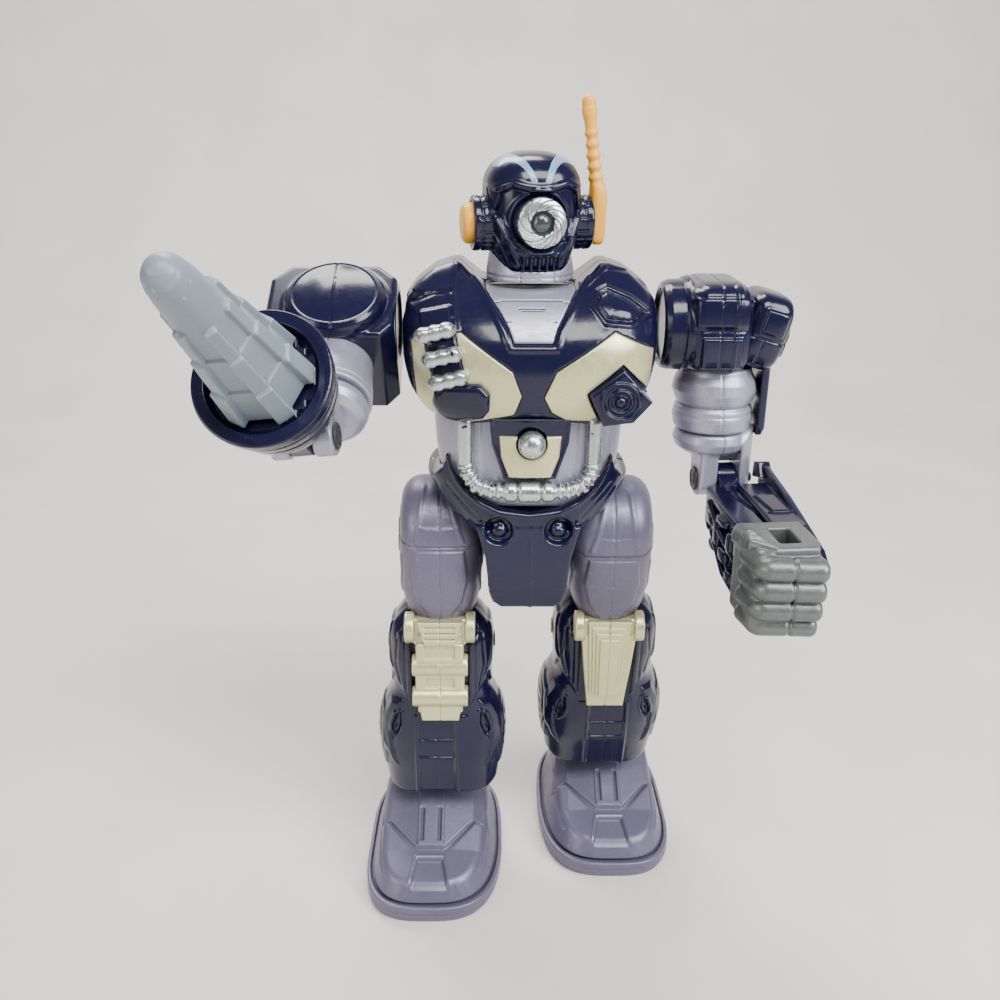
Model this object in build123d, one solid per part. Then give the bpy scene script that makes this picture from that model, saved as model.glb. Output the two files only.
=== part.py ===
from build123d import *
import math
import os

# Walking toy robot, about 25 cm tall, in millimetres.
# +Z is up, -Y is the way the robot faces, and +X is the robot's left.
# The pieces are drawn around the body's axis, with the floor at z = 0, and are
# moved at the end so that the origin is the bottom centre of the whole toy.

# ---- driving dimensions -------------------------------------------------
WALL = 2.2                # moulded shell thickness
RUNNING = 0.05            # radial clearance of a pin in its bore

STEP_HALF = 11.0          # each foot stands this far ahead of or behind the hips
LEG_LENGTH = 109.2        # hip axis to ankle axis
ANKLE_Z = 22.0
HIP_Z = ANKLE_Z + math.sqrt(LEG_LENGTH ** 2 - STEP_HALF ** 2)
LEG_TILT = math.degrees(math.asin(STEP_HALF / LEG_LENGTH))
LEG_X = 28.0              # centre of the thigh
SHIN_X = 28.8             # centre of the shin
FOOT_X = 31.8             # centre of the foot

SHOULDER_Z = 199.0
ARM_X = 60.0              # axis of the upper arm
ELBOW_DROP = 49.5         # shoulder axis to elbow axis
ELBOW_Y = -4.0
LEFT_SWIVEL = 5.0         # forearm turned outward at rest
RIGHT_RAISE = 57.0        # drill arm raised forward at the shoulder
RIGHT_SWIVEL = 8.1
RIGHT_STRAIGHTEN = 21.1   # drill arm's elbow opened from a right angle

HEAD_TURN = 9.5
EAR_Z = 230.0
SHOULDER_PIN_RADIUS = 5.0
HIP_PIN_RADIUS = 1.5

# Each form is a stack of rounded rectangles: height, half width, front, back, corner.
CHEST = [(172.6, 30.0, -25.0, 18.0, 11.0), (180.0, 36.5, -29.0, 22.0, 12.0),
         (198.0, 39.4, -29.0, 24.0, 13.0), (208.0, 36.0, -22.5, 23.0, 11.0),
         (217.5, 27.0, -9.0, 15.0, 6.0)]
ABDOMEN = [(146.5, 25.0, -23.5, 19.0, 11.0), (161.0, 29.0, -24.0, 19.5, 12.0),
           (172.6, 29.8, -23.5, 18.0, 11.0)]
BELT = [(138.0, 20.5, -26.0, 20.0, 9.0), (146.5, 28.0, -27.0, 22.5, 12.0),
        (154.0, 30.0, -25.0, 23.0, 12.0)]
HEAD = [(217.5, 9.0, -13.5, 9.0, 4.0), (224.0, 12.5, -15.5, 13.0, 6.0),
        (237.0, 14.5, -15.0, 15.5, 9.0), (245.0, 12.0, -12.0, 12.5, 9.0),
        (250.5, 6.0, -6.0, 6.5, 5.0)]
THIGH = [(99.0, 9.5, -14.0, 13.0, 5.0), (108.0, 13.0, -16.5, 16.5, 7.0),
         (HIP_Z, 14.0, -17.5, 17.5, 7.0)]
SHIN = [(35.0, 19.0, -9.0, 20.0, 7.0), (53.0, 22.0, -13.0, 22.0, 9.0),
        (66.0, 20.0, -13.5, 21.0, 8.0), (87.0, 17.5, -14.0, 19.0, 8.0),
        (102.0, 15.5, -9.0, 17.0, 7.0)]
FOOT = [(6.2, 22.0, -29.3, 43.3, 17.0), (13.0, 20.0, -26.5, 42.0, 15.0),
        (23.0, 18.0, -18.0, 39.0, 12.0), (31.0, 15.5, -8.0, 30.0, 7.0)]
SOLE = [(0.0, 23.0, -30.2, 44.2, 18.0), (1.2, 24.0, -31.2, 45.2, 19.0),
        (6.0, 24.0, -31.2, 45.2, 19.0)]

PARTS = {}


# ---- helpers ------------------------------------------------------------
def block(x0, x1, y0, y1, z0, z1):
    """A box between two corners."""
    return Pos((x0 + x1) / 2, (y0 + y1) / 2, (z0 + z1) / 2) * Box(x1 - x0, y1 - y0, z1 - z0)


def rod_x(x0, x1, y, z, radius):
    return Pos((x0 + x1) / 2, y, z) * Rot(0, 90, 0) * Cylinder(radius, x1 - x0)


def rod_y(y0, y1, x, z, radius):
    return Pos(x, (y0 + y1) / 2, z) * Rot(90, 0, 0) * Cylinder(radius, y1 - y0)


def rod_z(z0, z1, x, y, radius):
    return Pos(x, y, (z0 + z1) / 2) * Cylinder(radius, z1 - z0)


def form(sections, grow=0.0, x=0.0):
    """Loft a stack of rounded rectangles, each one grown on every side."""
    profiles = []
    for z, half_width, front, back, corner in sections:
        outline = RectangleRounded(2 * (half_width + grow), back - front + 2 * grow, corner + grow)
        profiles.append(Pos(x, (front + back) / 2, z) * outline)
    return loft(profiles, ruled=True)


def prism(points, y0, y1):
    """A straight-sided piece whose outline is drawn in the XZ plane."""
    outline = make_face(Polyline(*[(px, y0, pz) for px, pz in points], close=True))
    return extrude(outline, amount=y1 - y0, dir=(0, 1, 0))


def slab(y0, y1):
    return block(-120, 120, y0, y1, -20, 300)


def soft_block(x0, x1, y0, y1, z0, z1, radius):
    """A box with all its edges rounded."""
    solid = block(x0, x1, y0, y1, z0, z1)
    return fillet(solid.edges(), radius)


def to_rest(solid, body):
    """Move a piece from the straight pose it is drawn in to the rest pose."""
    elbow_z = SHOULDER_Z - ELBOW_DROP
    if body == "head":
        return Rot(0, 0, HEAD_TURN) * solid
    if body in ("left_lower_arm", "left_forearm"):
        return Pos(ARM_X, 0, 0) * Rot(0, 0, LEFT_SWIVEL) * Pos(-ARM_X, 0, 0) * solid
    if body in ("right_upper_arm", "right_lower_arm", "right_forearm"):
        if body == "right_forearm":
            open_elbow = Rot(RIGHT_STRAIGHTEN, 0, 0)
            solid = Pos(0, ELBOW_Y, elbow_z) * open_elbow * Pos(0, -ELBOW_Y, -elbow_z) * solid
        if body != "right_upper_arm":
            solid = Pos(-ARM_X, 0, 0) * Rot(0, 0, -RIGHT_SWIVEL) * Pos(ARM_X, 0, 0) * solid
        return Pos(0, 0, SHOULDER_Z) * Rot(-RIGHT_RAISE, 0, 0) * Pos(0, 0, -SHOULDER_Z) * solid
    if body in ("left_leg", "right_leg"):
        tilt = LEG_TILT if body == "left_leg" else -LEG_TILT
        return Pos(0, 0, HIP_Z) * Rot(tilt, 0, 0) * Pos(0, 0, -HIP_Z) * solid
    if body == "left_foot":
        return Pos(0, STEP_HALF, 0) * solid
    if body == "right_foot":
        return Pos(0, -STEP_HALF, 0) * solid
    return solid


def add(name, solid, body="torso"):
    PARTS[name] = to_rest(solid, body)


def mirrored(solid):
    return mirror(solid, about=Plane.YZ)


# ---- outlines drawn on the front of the chest ---------------------------
def chest_plate_outlines():
    right = [(-21.1, 201.4), (-35.7, 197.7), (-34.7, 180.0), (-18.1, 174.5),
             (-4.6, 177.8), (-3.4, 183.6), (-6.9, 191.9)]
    left = [(24.6, 201.5), (37.0, 194.1), (36.2, 181.5), (27.0, 191.8), (16.2, 184.3),
            (20.8, 174.5), (8.5, 177.0), (4.1, 183.3), (7.5, 191.0)]
    return right, left


def collar_outline():
    return [(-14.5, 213.0), (14.5, 213.0), (9.3, 204.5), (6.0, 197.8), (-6.0, 197.8), (-9.3, 204.5)]


def strap_path_boxes():
    """The sloping strap and the pouch at its foot."""
    strap = Pos(-25.6, -29.4, 194.5) * Rot(0, -14, 0) * Box(8.0, 4.0, 20.0)
    pouch = Pos(-20.7, -30.2, 180.5) * Rot(0, -6, 0) * soft_block(-8.6, 8.6, -3.0, 3.0, -5.0, 5.0, 2.4)
    return strap, pouch


# ---- torso --------------------------------------------------------------
def make_chest():
    outer = form(CHEST)
    cavity = form(CHEST, -WALL) & block(-60, 60, -60, 60, 172.0, 212.0)
    shell = outer - cavity
    shell -= block(-26, 26, -20, 16, 170.0, 176.0)
    shell -= rod_z(213.0, 220.0, 0, 0, 14.2)
    shell -= rod_z(209.0, 214.0, 0, 0, 6.0)
    for side in (-1, 1):
        shell -= rod_x(*sorted((side * 34.0, side * 42.0)), 0, SHOULDER_Z, SHOULDER_PIN_RADIUS)

    right_outline, left_outline = chest_plate_outlines()
    inlay_zone = form(CHEST, 0.9) - form(CHEST, -0.9)
    right_plate = (inlay_zone & prism(right_outline, -40, -5)).solids().sort_by(Axis.Y)[0]
    left_plate = (inlay_zone & prism(left_outline, -40, -5)).solids().sort_by(Axis.Y)[0]
    collar = (inlay_zone & prism(collar_outline(), -40, -5)).solids().sort_by(Axis.Y)[0]
    collar -= rod_z(205.0, 225.0, 0, 0, 14.2)

    strap, pouch = strap_path_boxes()
    port = prism([(27.0, 191.2), (16.8, 184.2), (21.2, 174.6), (30.0, 176.0), (35.6, 181.5)], -30.6, -27.0)
    port += rod_y(-32.4, -30.0, 25.8, 182.4, 5.0)
    port += Pos(25.8, -32.2, 182.4) * Sphere(2.2)
    gem = Pos(27.5, -17.0, 208.3) * Rot(32, 0, 0) * soft_block(-9.0, 9.0, -5.0, 5.0, -4.2, 4.2, 2.5)
    surround = prism([(-12.0, 172.7), (12.0, 172.7), (7.8, 157.0), (-7.8, 157.0)], -26.4, -22.6)

    bands = []
    for x, z in ((-28.0, 202.2), (-25.7, 195.4), (-23.9, 188.4)):
        bands.append(Pos(x, -31.0, z) * Rot(0, -14, 0) * soft_block(-5.0, 5.0, -2.6, 2.2, -1.9, 1.9, 1.2))
    band_group = bands[0] + bands[1] + bands[2]

    raised = strap + pouch + port + gem
    raised -= form(CHEST, -WALL * 0.9)
    for band in bands:
        raised -= band
    right_plate -= Pos(-26.6, -29.4, 197.5) * Rot(0, -14, 0) * Box(10.8, 14.0, 24.0)
    raised -= right_plate
    left_plate -= port
    front = shell & slab(-60, 0)
    front -= right_plate
    front -= left_plate
    front -= collar
    front -= band_group
    front += raised
    front += surround
    front -= right_plate
    front -= left_plate
    add("chest_plate_right", right_plate)
    add("chest_plate_left", left_plate)
    add("collar_plate", collar)
    add("strap_bands", band_group)
    return front, (shell & slab(0, 60))


def make_belly(front):
    plate = prism([(-9.3, 170.2), (9.3, 170.2), (6.2, 158.2), (-6.2, 158.2)], -28.2, -26.4)
    hole = rod_y(-35, -20, 0.4, 168.4, 4.5)
    add("belly_plate", plate - hole)
    button = Pos(0.4, -28.4, 168.4) * Sphere(4.2)
    button += rod_y(-28.4, -18.0, 0.4, 168.4, 3.0)
    button += rod_y(-21.0, -19.6, 0.4, 168.4, 4.9)
    add("belly_button", button, "belly_button")
    front -= hole
    return front - rod_y(-22.7, -16.9, 0.4, 168.4, 5.4)


def hose_run():
    """Half of the hose on each side, bent round into the centre fitting."""
    y = -25.6
    corners = [(-19.6, y + 1.0, 171.0), (-18.6, y, 157.5), (-8.0, y - 1.4, 152.8), (0.0, y - 1.4, 152.8),
               (8.0, y - 1.4, 152.8), (18.6, y, 157.5), (19.6, y + 1.0, 171.0)]
    left_run = FilletPolyline(*corners[:4], radius=5.0)
    right_run = FilletPolyline(*corners[3:], radius=5.0)
    hose = None
    for run in (left_run, right_run):
        section = Plane(origin=run @ 0, z_dir=run % 0) * Circle(2.4)
        tube = sweep(section, path=run)
        hose = tube if hose is None else hose + tube
    for x0, x1, radius in ((-7.6, -3.9, 3.0), (-3.5, 3.5, 3.2), (3.9, 7.6, 3.0)):
        hose += rod_x(x0, x1, y - 1.4, 152.8, radius)
    return hose


def make_abdomen(front):
    shell = form(ABDOMEN) - (form(ABDOMEN, -WALL) & block(-60, 60, -60, 60, 140.0, 180.0))
    hose = hose_run()
    shell -= hose
    shell -= front
    shell -= rod_y(-35, -12, 0.4, 168.4, 5.4)
    for angle in range(0, 360, 60):
        x = 7.0 * math.cos(math.radians(angle))
        z = 160.0 + 7.0 * math.sin(math.radians(angle))
        shell -= rod_y(10, 30, x, z, 1.4)
    hose -= front
    shell -= rod_x(13.0, 50.0, 0, HIP_Z, 18.3)
    shell -= rod_x(-50.0, -13.0, 0, HIP_Z, 18.3)
    add("abdomen_shell", shell)
    add("abdomen_hose", hose)


def make_pelvis():
    belt = form(BELT)
    belt -= form(ABDOMEN)
    belt -= prism([(-31.0, 154.2), (-17.0, 148.4), (17.0, 148.4), (31.0, 154.2), (31.0, 170.0), (-31.0, 170.0)],
                  -40.0, -15.0)
    belt += block(-13.4, 13.4, -20.0, 19.0, 112.0, 144.0)
    flap = prism([(-16.4, 140.0), (16.4, 140.0), (13.0, 127.0), (11.9, 118.2), (10.4, 113.9), (7.6, 112.1),
                  (-7.6, 112.1), (-10.4, 113.9), (-11.9, 118.2), (-13.0, 127.0)], -27.0, -19.8)
    belt += flap
    belt -= block(-11.0, 11.0, -16.5, 16.5, 115.0, 147.0)
    for side in (-1, 1):
        belt -= rod_x(*sorted((side * 13.6, side * 50.0)), 0, HIP_Z, 18.3)
        belt -= rod_y(-30.0, -25.5, side * 9.5, 138.6, 4.2)
    belt -= rod_x(-15, 15, 0, HIP_Z, HIP_PIN_RADIUS)
    add("pelvis_front_shell", belt & slab(-60, 0))
    back = belt & slab(0, 60)
    add("pelvis_back_shell", back - rod_y(13.0, 24.0, 0, 120.0, 1.5) - rod_y(17.5, 24.0, 0, 120.0, 2.8))


def make_inside_works():
    """Batteries, electronics and the walking drive inside the body."""
    cells = None
    for z in (183.0, 200.0):
        cell = rod_x(-25.2, 24.0, 13.4, z, 7.1) + rod_x(24.0, 25.2, 13.4, z, 2.7)
        cells = cell if cells is None else cells + cell
    add("batteries", cells)
    board = block(-17.0, 17.0, -14.6, -13.0, 153.0, 190.0)
    board += block(-3.0, 3.8, -16.4, -14.6, 165.2, 171.6)
    board += block(-9.0, 3.0, -13.0, -11.4, 176.0, 186.0)
    add("circuit_board", board)
    add("speaker", rod_y(12.0, 15.6, 0, 160.0, 11.0) + rod_y(8.6, 12.0, 0, 160.0, 6.5))
    case = block(-10.8, 10.8, -16.0, 16.0, 116.0, 146.0) - block(-9.0, 9.0, -14.2, 14.2, 117.8, 144.2)
    case -= rod_x(-15, 15, 0, HIP_Z, HIP_PIN_RADIUS)
    add("gearbox_case", case)
    motor = rod_x(-12.5, 9.5, -1.5, 157.0, 8.6) + rod_x(9.5, 13.0, -1.5, 157.0, 3.0)
    add("motor", motor + rod_x(13.0, 18.0, -1.5, 157.0, 1.0))
    add("hip_shaft", rod_x(-36.0, 36.0, 0, HIP_Z, HIP_PIN_RADIUS))


def make_back(back):
    """Neck post, battery door, power switch and screws in the back of the chest."""
    post = rod_z(205.0, 222.4, 0, 0, 6.0) + rod_z(222.4, 224.4, 0, 0, 7.6)
    post += block(-3.0, 3.0, 0.0, 5.6, 203.0, 212.8) - rod_z(200.0, 205.0, 0, 0, 6.0)
    window = block(-27.0, 27.0, 14.0, 40.0, 175.6, 207.4)
    door = (form(CHEST) - form(CHEST, -1.6)) & block(-26.9, 26.9, 14.0, 40.0, 175.7, 207.3)
    door = door.solids().sort_by(Axis.Y)[-1]
    switch_slot = block(-34.6, -29.6, 10.0, 40.0, 184.0, 196.0)
    back -= window
    back -= switch_slot
    back += post
    screw_holes = ((32.0, 204.0), (32.0, 181.0))
    screws = None
    for x, z in screw_holes:
        head_y = 17.0
        screw = rod_y(head_y - 8.0, head_y, x, z, 1.4) + rod_y(head_y, head_y + 1.6, x, z, 2.6)
        back -= rod_y(head_y - 8.0, head_y, x, z, 1.4) + rod_y(head_y, 40.0, x, z, 2.8)
        screws = screw if screws is None else screws + screw
    door_screw_z = 204.0
    door -= rod_y(10.0, 40.0, 0, door_screw_z, 1.5)
    door_screw = rod_y(14.0, 23.6, 0, door_screw_z, 1.5) + rod_y(23.6, 25.0, 0, door_screw_z, 2.8)
    door -= rod_y(23.6, 30.0, 0, door_screw_z, 2.8)
    pelvis_screw = rod_y(13.0, 17.5, 0, 120.0, 1.4) + rod_y(17.5, 18.8, 0, 120.0, 2.6)
    pelvis_screw -= block(-11.0, 11.0, -16.5, 16.5, 115.0, 147.0)
    screws = screws + (door_screw - block(-30, 30, 0, 20.7, 175, 207.4)) + pelvis_screw
    add("chest_back_shell", back)
    add("battery_door", door)
    add("shell_screws", screws)
    knob = block(-34.2, -30.0, 18.2, 19.8, 184.6, 192.0)
    add("power_switch", knob + block(-33.6, -30.6, 19.8, 23.4, 187.0, 190.0), "power_switch")


def make_shoulder_pins():
    pins = None
    for side in (-1, 1):
        pin = rod_x(*sorted((side * 36.0, side * 52.0)), 0, SHOULDER_Z, SHOULDER_PIN_RADIUS)
        pin += rod_x(*sorted((side * 33.6, side * 36.0)), 0, SHOULDER_Z, SHOULDER_PIN_RADIUS + 2)
        pins = pin if pins is None else pins + pin
    return pins


# ---- head ---------------------------------------------------------------
def make_head():
    shell = form(HEAD)
    shell += rod_x(-18.3, 18.3, 0, EAR_Z, 8.0)
    cavity = form(HEAD, -1.8) & block(-30, 30, -30, 30, 219.3, 248.5)
    shell -= cavity
    shell -= rod_z(210.0, 225.0, 0, 0, 8.2)
    brow_recess = Pos(0, -17.2, 231.0) * Box(20.0, 4.0, 12.0)
    shell -= brow_recess
    ring = rod_y(-17.6, -15.2, 0, 231.3, 7.25) - rod_y(-18.0, -15.0, 0, 231.3, 3.4)
    lens = rod_y(-15.6, -15.2, 0, 231.3, 3.4) + (Pos(0, -15.6, 231.3) * Sphere(3.4) & slab(-20, -15.6))
    shell -= rod_y(-18.0, -15.2, 0, 231.3, 7.25)
    ear_bore = rod_x(13.0, 19.0, 0, EAR_Z, 2.0 + RUNNING)
    shell -= ear_bore
    for x in (-5.2, -2.6, 0.0, 2.6, 5.2):
        shell -= block(x - 0.5, x + 0.5, -16.5, -14.0, 218.4, 222.4)
    collar = rod_z(213.9, 221.4, 0, 0, 13.6) - rod_z(210, 225, 0, 0, 6.0 + RUNNING)
    collar -= form(HEAD)
    collar = collar.solids().sort_by(SortBy.VOLUME)[-1]
    cap = rod_x(-20.6, -18.3, 0, EAR_Z, 5.7) + rod_x(-21.6, -20.6, 0, EAR_Z, 4.7)
    add("head_front_shell", shell & slab(-60, 0), "head")
    add("head_back_shell", shell & slab(0, 60), "head")
    add("neck_collar", collar, "head")
    add("eye_ring", ring, "head")
    add("eye_lens", lens, "head")
    add("ear_cap", cap, "head")
    make_antenna()


def make_antenna():
    base_x = 18.6
    antenna = rod_x(14.6, base_x, 0, EAR_Z, 2.0)
    antenna += soft_block(base_x, base_x + 4.4, -3.2, 3.2, 224.0, 241.0, 1.4)
    stem = Pos(20.2, 0, 240.0) * Rot(0, -8, 0) * rod_z(0.0, 22.0, 0, 0, 1.7)
    stem += Pos(17.1, 0, 261.8) * Sphere(2.0)
    stem += Pos(17.1, 0, 261.8) * Rot(0, -4, 0) * rod_z(0.0, 2.6, 0, 0, 2.0)
    stem += Pos(16.9, 0, 264.3) * Sphere(2.0)
    for turn in range(5):
        rise = 2.0 + 3.2 * turn
        stem += Pos(20.2, 0, 240.0) * Rot(0, -8, 0) * rod_z(rise, rise + 1.8, 0, 0, 2.3)
    add("antenna", antenna + stem, "head")


# ---- arms ---------------------------------------------------------------
def shoulder_bore(x0, x1):
    return rod_x(x0, x1, 0, SHOULDER_Z, SHOULDER_PIN_RADIUS + RUNNING)


def swivel_bore(x):
    return rod_z(160.0, 177.4, x, 0, 4.0 + RUNNING)


def elbow_fork(x, ring_radius):
    """Lowest arm ring, its swivel peg and the two legs that hold the elbow pin."""
    elbow_z = SHOULDER_Z - ELBOW_DROP
    fork = rod_z(158.6, 165.8, x, 0, ring_radius) + rod_z(165.8, 177.0, x, 0, 4.0)
    for x0, x1 in ((x - 5.2, x + 0.6), (x + 7.8, x + 13.2)):
        leg = rod_x(x0, x1, ELBOW_Y, elbow_z, 5.5)
        leg += block(x0, x1, ELBOW_Y - 5.5, ELBOW_Y + 5.5, elbow_z, 159.0)
        fork += leg
    fork -= rod_x(x - 6.0, x + 14.0, ELBOW_Y, elbow_z, 1.5)
    return fork


def elbow_pin(x):
    elbow_z = SHOULDER_Z - ELBOW_DROP
    pin = rod_x(x - 5.2, x + 13.2, ELBOW_Y, elbow_z, 1.5)
    return pin + rod_x(x - 6.0, x - 5.2, ELBOW_Y, elbow_z, 4.2)


def forearm_tongue(x):
    """The lug that turns between the legs of the elbow fork."""
    elbow_z = SHOULDER_Z - ELBOW_DROP
    tongue = rod_x(x + 0.9, x + 7.5, ELBOW_Y, elbow_z, 5.0)
    tongue += block(x + 0.9, x + 7.5, -16.0, ELBOW_Y, elbow_z - 5.0, elbow_z)
    return tongue - rod_x(x, x + 9.0, ELBOW_Y, elbow_z, 1.5 + RUNNING)


def make_left_arm():
    shell = soft_block(40.6, 72.0, -16.5, 16.5, 186.0, 213.5, 5.0)
    shell -= shoulder_bore(40.0, 52.4)
    shell = shell - soft_block(54.5, 70.0, -14.0, 14.0, 188.5, 211.0, 3.0)
    pod = soft_block(72.0, 80.2, -12.5, 12.5, 187.5, 210.0, 2.5)
    pod += block(73.2, 75.4, -8.0, 8.0, 164.5, 189.0)
    arm = rod_z(182.0, 186.0, ARM_X, 0, 12.2)
    for z0, z1, radius in ((174.6, 183.0, 13.0), (166.1, 174.6, 12.4)):
        ring = rod_z(z0, z1, ARM_X, 0, radius)
        arm += fillet(ring.edges(), 2.4)
    arm += rod_z(170.0, 180.0, ARM_X, 0, 11.0)
    arm -= swivel_bore(ARM_X)
    add("left_shoulder_shell", shell, "left_upper_arm")
    add("left_shoulder_pod", pod, "left_upper_arm")
    add("left_upper_arm", arm, "left_upper_arm")
    add("left_elbow_fork", elbow_fork(ARM_X, 11.8), "left_lower_arm")
    add("left_elbow_pin", elbow_pin(ARM_X), "left_lower_arm")

    forearm = forearm_tongue(ARM_X)
    forearm += prism_x([(-12.0, 149.6), (-46.0, 149.6), (-46.0, 127.0), (-32.0, 125.5), (-12.0, 138.0)], 55.5, 70.0)
    armour = prism_x([(-12.5, 149.9), (-46.0, 149.9), (-46.0, 134.0), (-30.0, 132.0), (-12.5, 140.0)], 70.0, 75.0)
    armour += prism_x([(-7.0, 152.5), (-14.0, 153.0), (-62.0, 147.0), (-62.0, 141.0), (-30.0, 130.0),
                       (-7.0, 140.0)], 75.0, 77.2)
    hand = soft_block(52.4, 74.6, -71.5, -46.2, 122.6, 151.5, 3.0)
    hand -= block(62.0, 68.5, -62.5, -51.5, 115.0, 160.0)
    for z in (129.6, 136.6, 143.6):
        hand -= block(50.0, 76.0, -75.0, -70.3, z, z + 1.0)
    add("left_forearm_shell", forearm, "left_forearm")
    add("left_forearm_armour", armour, "left_forearm")
    add("left_fist", hand, "left_forearm")


def prism_x(points, x0, x1):
    """A straight-sided piece whose outline is drawn in the YZ plane."""
    outline = make_face(Polyline(*[(x0, py, pz) for py, pz in points], close=True))
    return extrude(outline, amount=x1 - x0, dir=(1, 0, 0))


def drill_tier(y0, y1, z, radius, x):
    """One six-sided tier of the drill with a rib along each corner."""
    tier = Pos(x, y0, z) * Rot(90, 0, 0) * extrude(RegularPolygon(radius, 6), amount=y0 - y1)
    for corner in range(6):
        angle = math.radians(60 * corner)
        rib_x = x + radius * 0.93 * math.cos(angle)
        rib_z = z + radius * 0.93 * math.sin(angle)
        tier += rod_y(y1, y0, rib_x, rib_z, radius * 0.17)
    return tier


def make_drill(axis_x, axis_z):
    drill = rod_y(-36.0, -25.8, axis_x, axis_z, 3.0)
    for y0, y1, radius in ((-36.0, -52.0, 13.2), (-52.0, -67.0, 10.6), (-67.0, -79.0, 8.0)):
        drill += drill_tier(y0, y1, axis_z, radius, axis_x)
    cone_length = 14.6
    drill += Pos(axis_x, -79.0 - cone_length / 2, axis_z) * Rot(90, 0, 0) * Cone(6.6, 4.6, cone_length)
    drill += Pos(axis_x, -79.0 - cone_length, axis_z) * Sphere(4.6)
    return drill


def make_right_arm():
    block_top = SHOULDER_Z + 12.0
    block_low = SHOULDER_Z - 18.5
    shell = soft_block(-79.4, -40.6, -13.5, 19.0, block_low, block_top, 4.5)
    shell -= shoulder_bore(-52.4, -40.0)
    shell -= soft_block(-76.5, -54.5, -11.0, 16.0, block_low + 3, block_top - 3, 3.0)
    dome_z = SHOULDER_Z - 4.5
    dome = rod_y(-16.3, -13.5, -58.5, dome_z, 14.6)
    dome += Pos(-58.5, -17.4, dome_z) * Rot(90, 0, 0) * Cone(14.2, 12.6, 2.2)
    arm = rod_z(166.1, block_low, -ARM_X, 0, 12.6)
    arm -= swivel_bore(-ARM_X)
    fork = mirrored(elbow_fork(ARM_X, 12.2))
    add("right_shoulder_block", shell, "right_upper_arm")
    add("right_shoulder_dome", dome, "right_upper_arm")
    add("right_upper_arm", arm, "right_upper_arm")
    add("right_elbow_fork", fork, "right_lower_arm")
    add("right_elbow_pin", mirrored(elbow_pin(ARM_X)), "right_lower_arm")

    cuff_x = -66.0
    cuff_z = SHOULDER_Z - ELBOW_DROP + 7.0
    cuff = mirrored(forearm_tongue(ARM_X))
    for y0, y1, radius in ((-18.0, -13.5, 14.5), (-23.5, -18.0, 16.5), (-28.5, -23.5, 17.5), (-34.0, -28.5, 18.4)):
        cuff += rod_y(y0, y1, cuff_x, cuff_z, radius)
    cuff -= rod_y(-34.0, -31.0, cuff_x, cuff_z, 15.6)
    cuff -= rod_y(-32.0, -21.5, cuff_x, cuff_z, 3.0 + RUNNING)
    add("right_forearm_cuff", cuff, "right_forearm")
    add("drill", Pos(0, 4.0, 0) * make_drill(cuff_x, cuff_z), "right_forearm")


# ---- legs ---------------------------------------------------------------
def leg_pieces():
    """The left leg in its straight pose."""
    thigh = form(THIGH, 0.0, LEG_X) + rod_x(14.2, 41.8, 0, HIP_Z, 17.5)
    hollow = form(THIGH, -WALL, LEG_X) & block(0, 60, -30, 30, 101.5, HIP_Z)
    thigh_shell = thigh - hollow
    thigh_shell -= rod_x(10.0, 36.4, 0, HIP_Z, HIP_PIN_RADIUS + RUNNING)
    guard = block(LEG_X - 11.4, LEG_X + 12.0, -17.2, -11.5, 96.0, 103.6)
    guard += block(LEG_X - 8.5, LEG_X + 9.1, -18.0, -11.5, 68.0, 98.0)
    for x0, x1 in ((LEG_X - 11.4, LEG_X - 8.2), (LEG_X + 8.8, LEG_X + 12.0)):
        guard += rod_x(x0, x1, -13.6, 99.0, 4.8)
    guard -= thigh
    ankle_z = HIP_Z - LEG_LENGTH
    shin = form(SHIN, 0.0, SHIN_X) - (form(SHIN, -WALL, SHIN_X) & block(0, 60, -30, 30, 37, 96))
    shin -= thigh
    shin -= guard
    shin += block(FOOT_X - 8.0, FOOT_X + 8.0, -7.0, 7.0, ankle_z, 40.0)
    shin += rod_x(FOOT_X - 8.0, FOOT_X + 8.0, 0, ankle_z, 7.0)
    shin -= rod_x(FOOT_X - 30.0, FOOT_X - 8.0, 0, ankle_z, 13.6)
    shin -= rod_x(FOOT_X + 8.0, FOOT_X + 30.0, 0, ankle_z, 13.6)
    shin -= rod_x(FOOT_X - 9.0, FOOT_X + 9.0, 0, ankle_z, HIP_PIN_RADIUS)
    pin = rod_x(FOOT_X - 14.0, FOOT_X + 14.0, 0, ankle_z, HIP_PIN_RADIUS)
    return thigh_shell, guard, shin, pin


def split_halves(solid, x):
    return solid & block(x, x + 60, -60, 60, -20, 300), solid & block(x - 60, x, -60, 60, -20, 300)


def foot_pieces():
    sole = form(SOLE, 0.0, FOOT_X)
    upper = form(FOOT, 0.0, FOOT_X) - (form(FOOT, -WALL, FOOT_X) & block(0, 60, -60, 60, 6.0, 30.5))
    upper += block(FOOT_X - 14.6, FOOT_X + 14.6, -9.5, 9.5, 8.0, 30.0)
    upper += rod_x(FOOT_X - 14.6, FOOT_X + 14.6, 0, ANKLE_Z, 13.2) & block(0, 60, -14, 14, 28.0, 40.0)
    upper -= rod_x(FOOT_X - 8.4, FOOT_X + 8.4, 0, ANKLE_Z, 14.0)
    upper -= rod_x(FOOT_X - 14.1, FOOT_X + 14.1, 0, ANKLE_Z, HIP_PIN_RADIUS + RUNNING)
    upper -= block(FOOT_X - 30.0, FOOT_X + 30.0, -60, 60, 0.0, 6.2)
    return sole, upper


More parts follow.
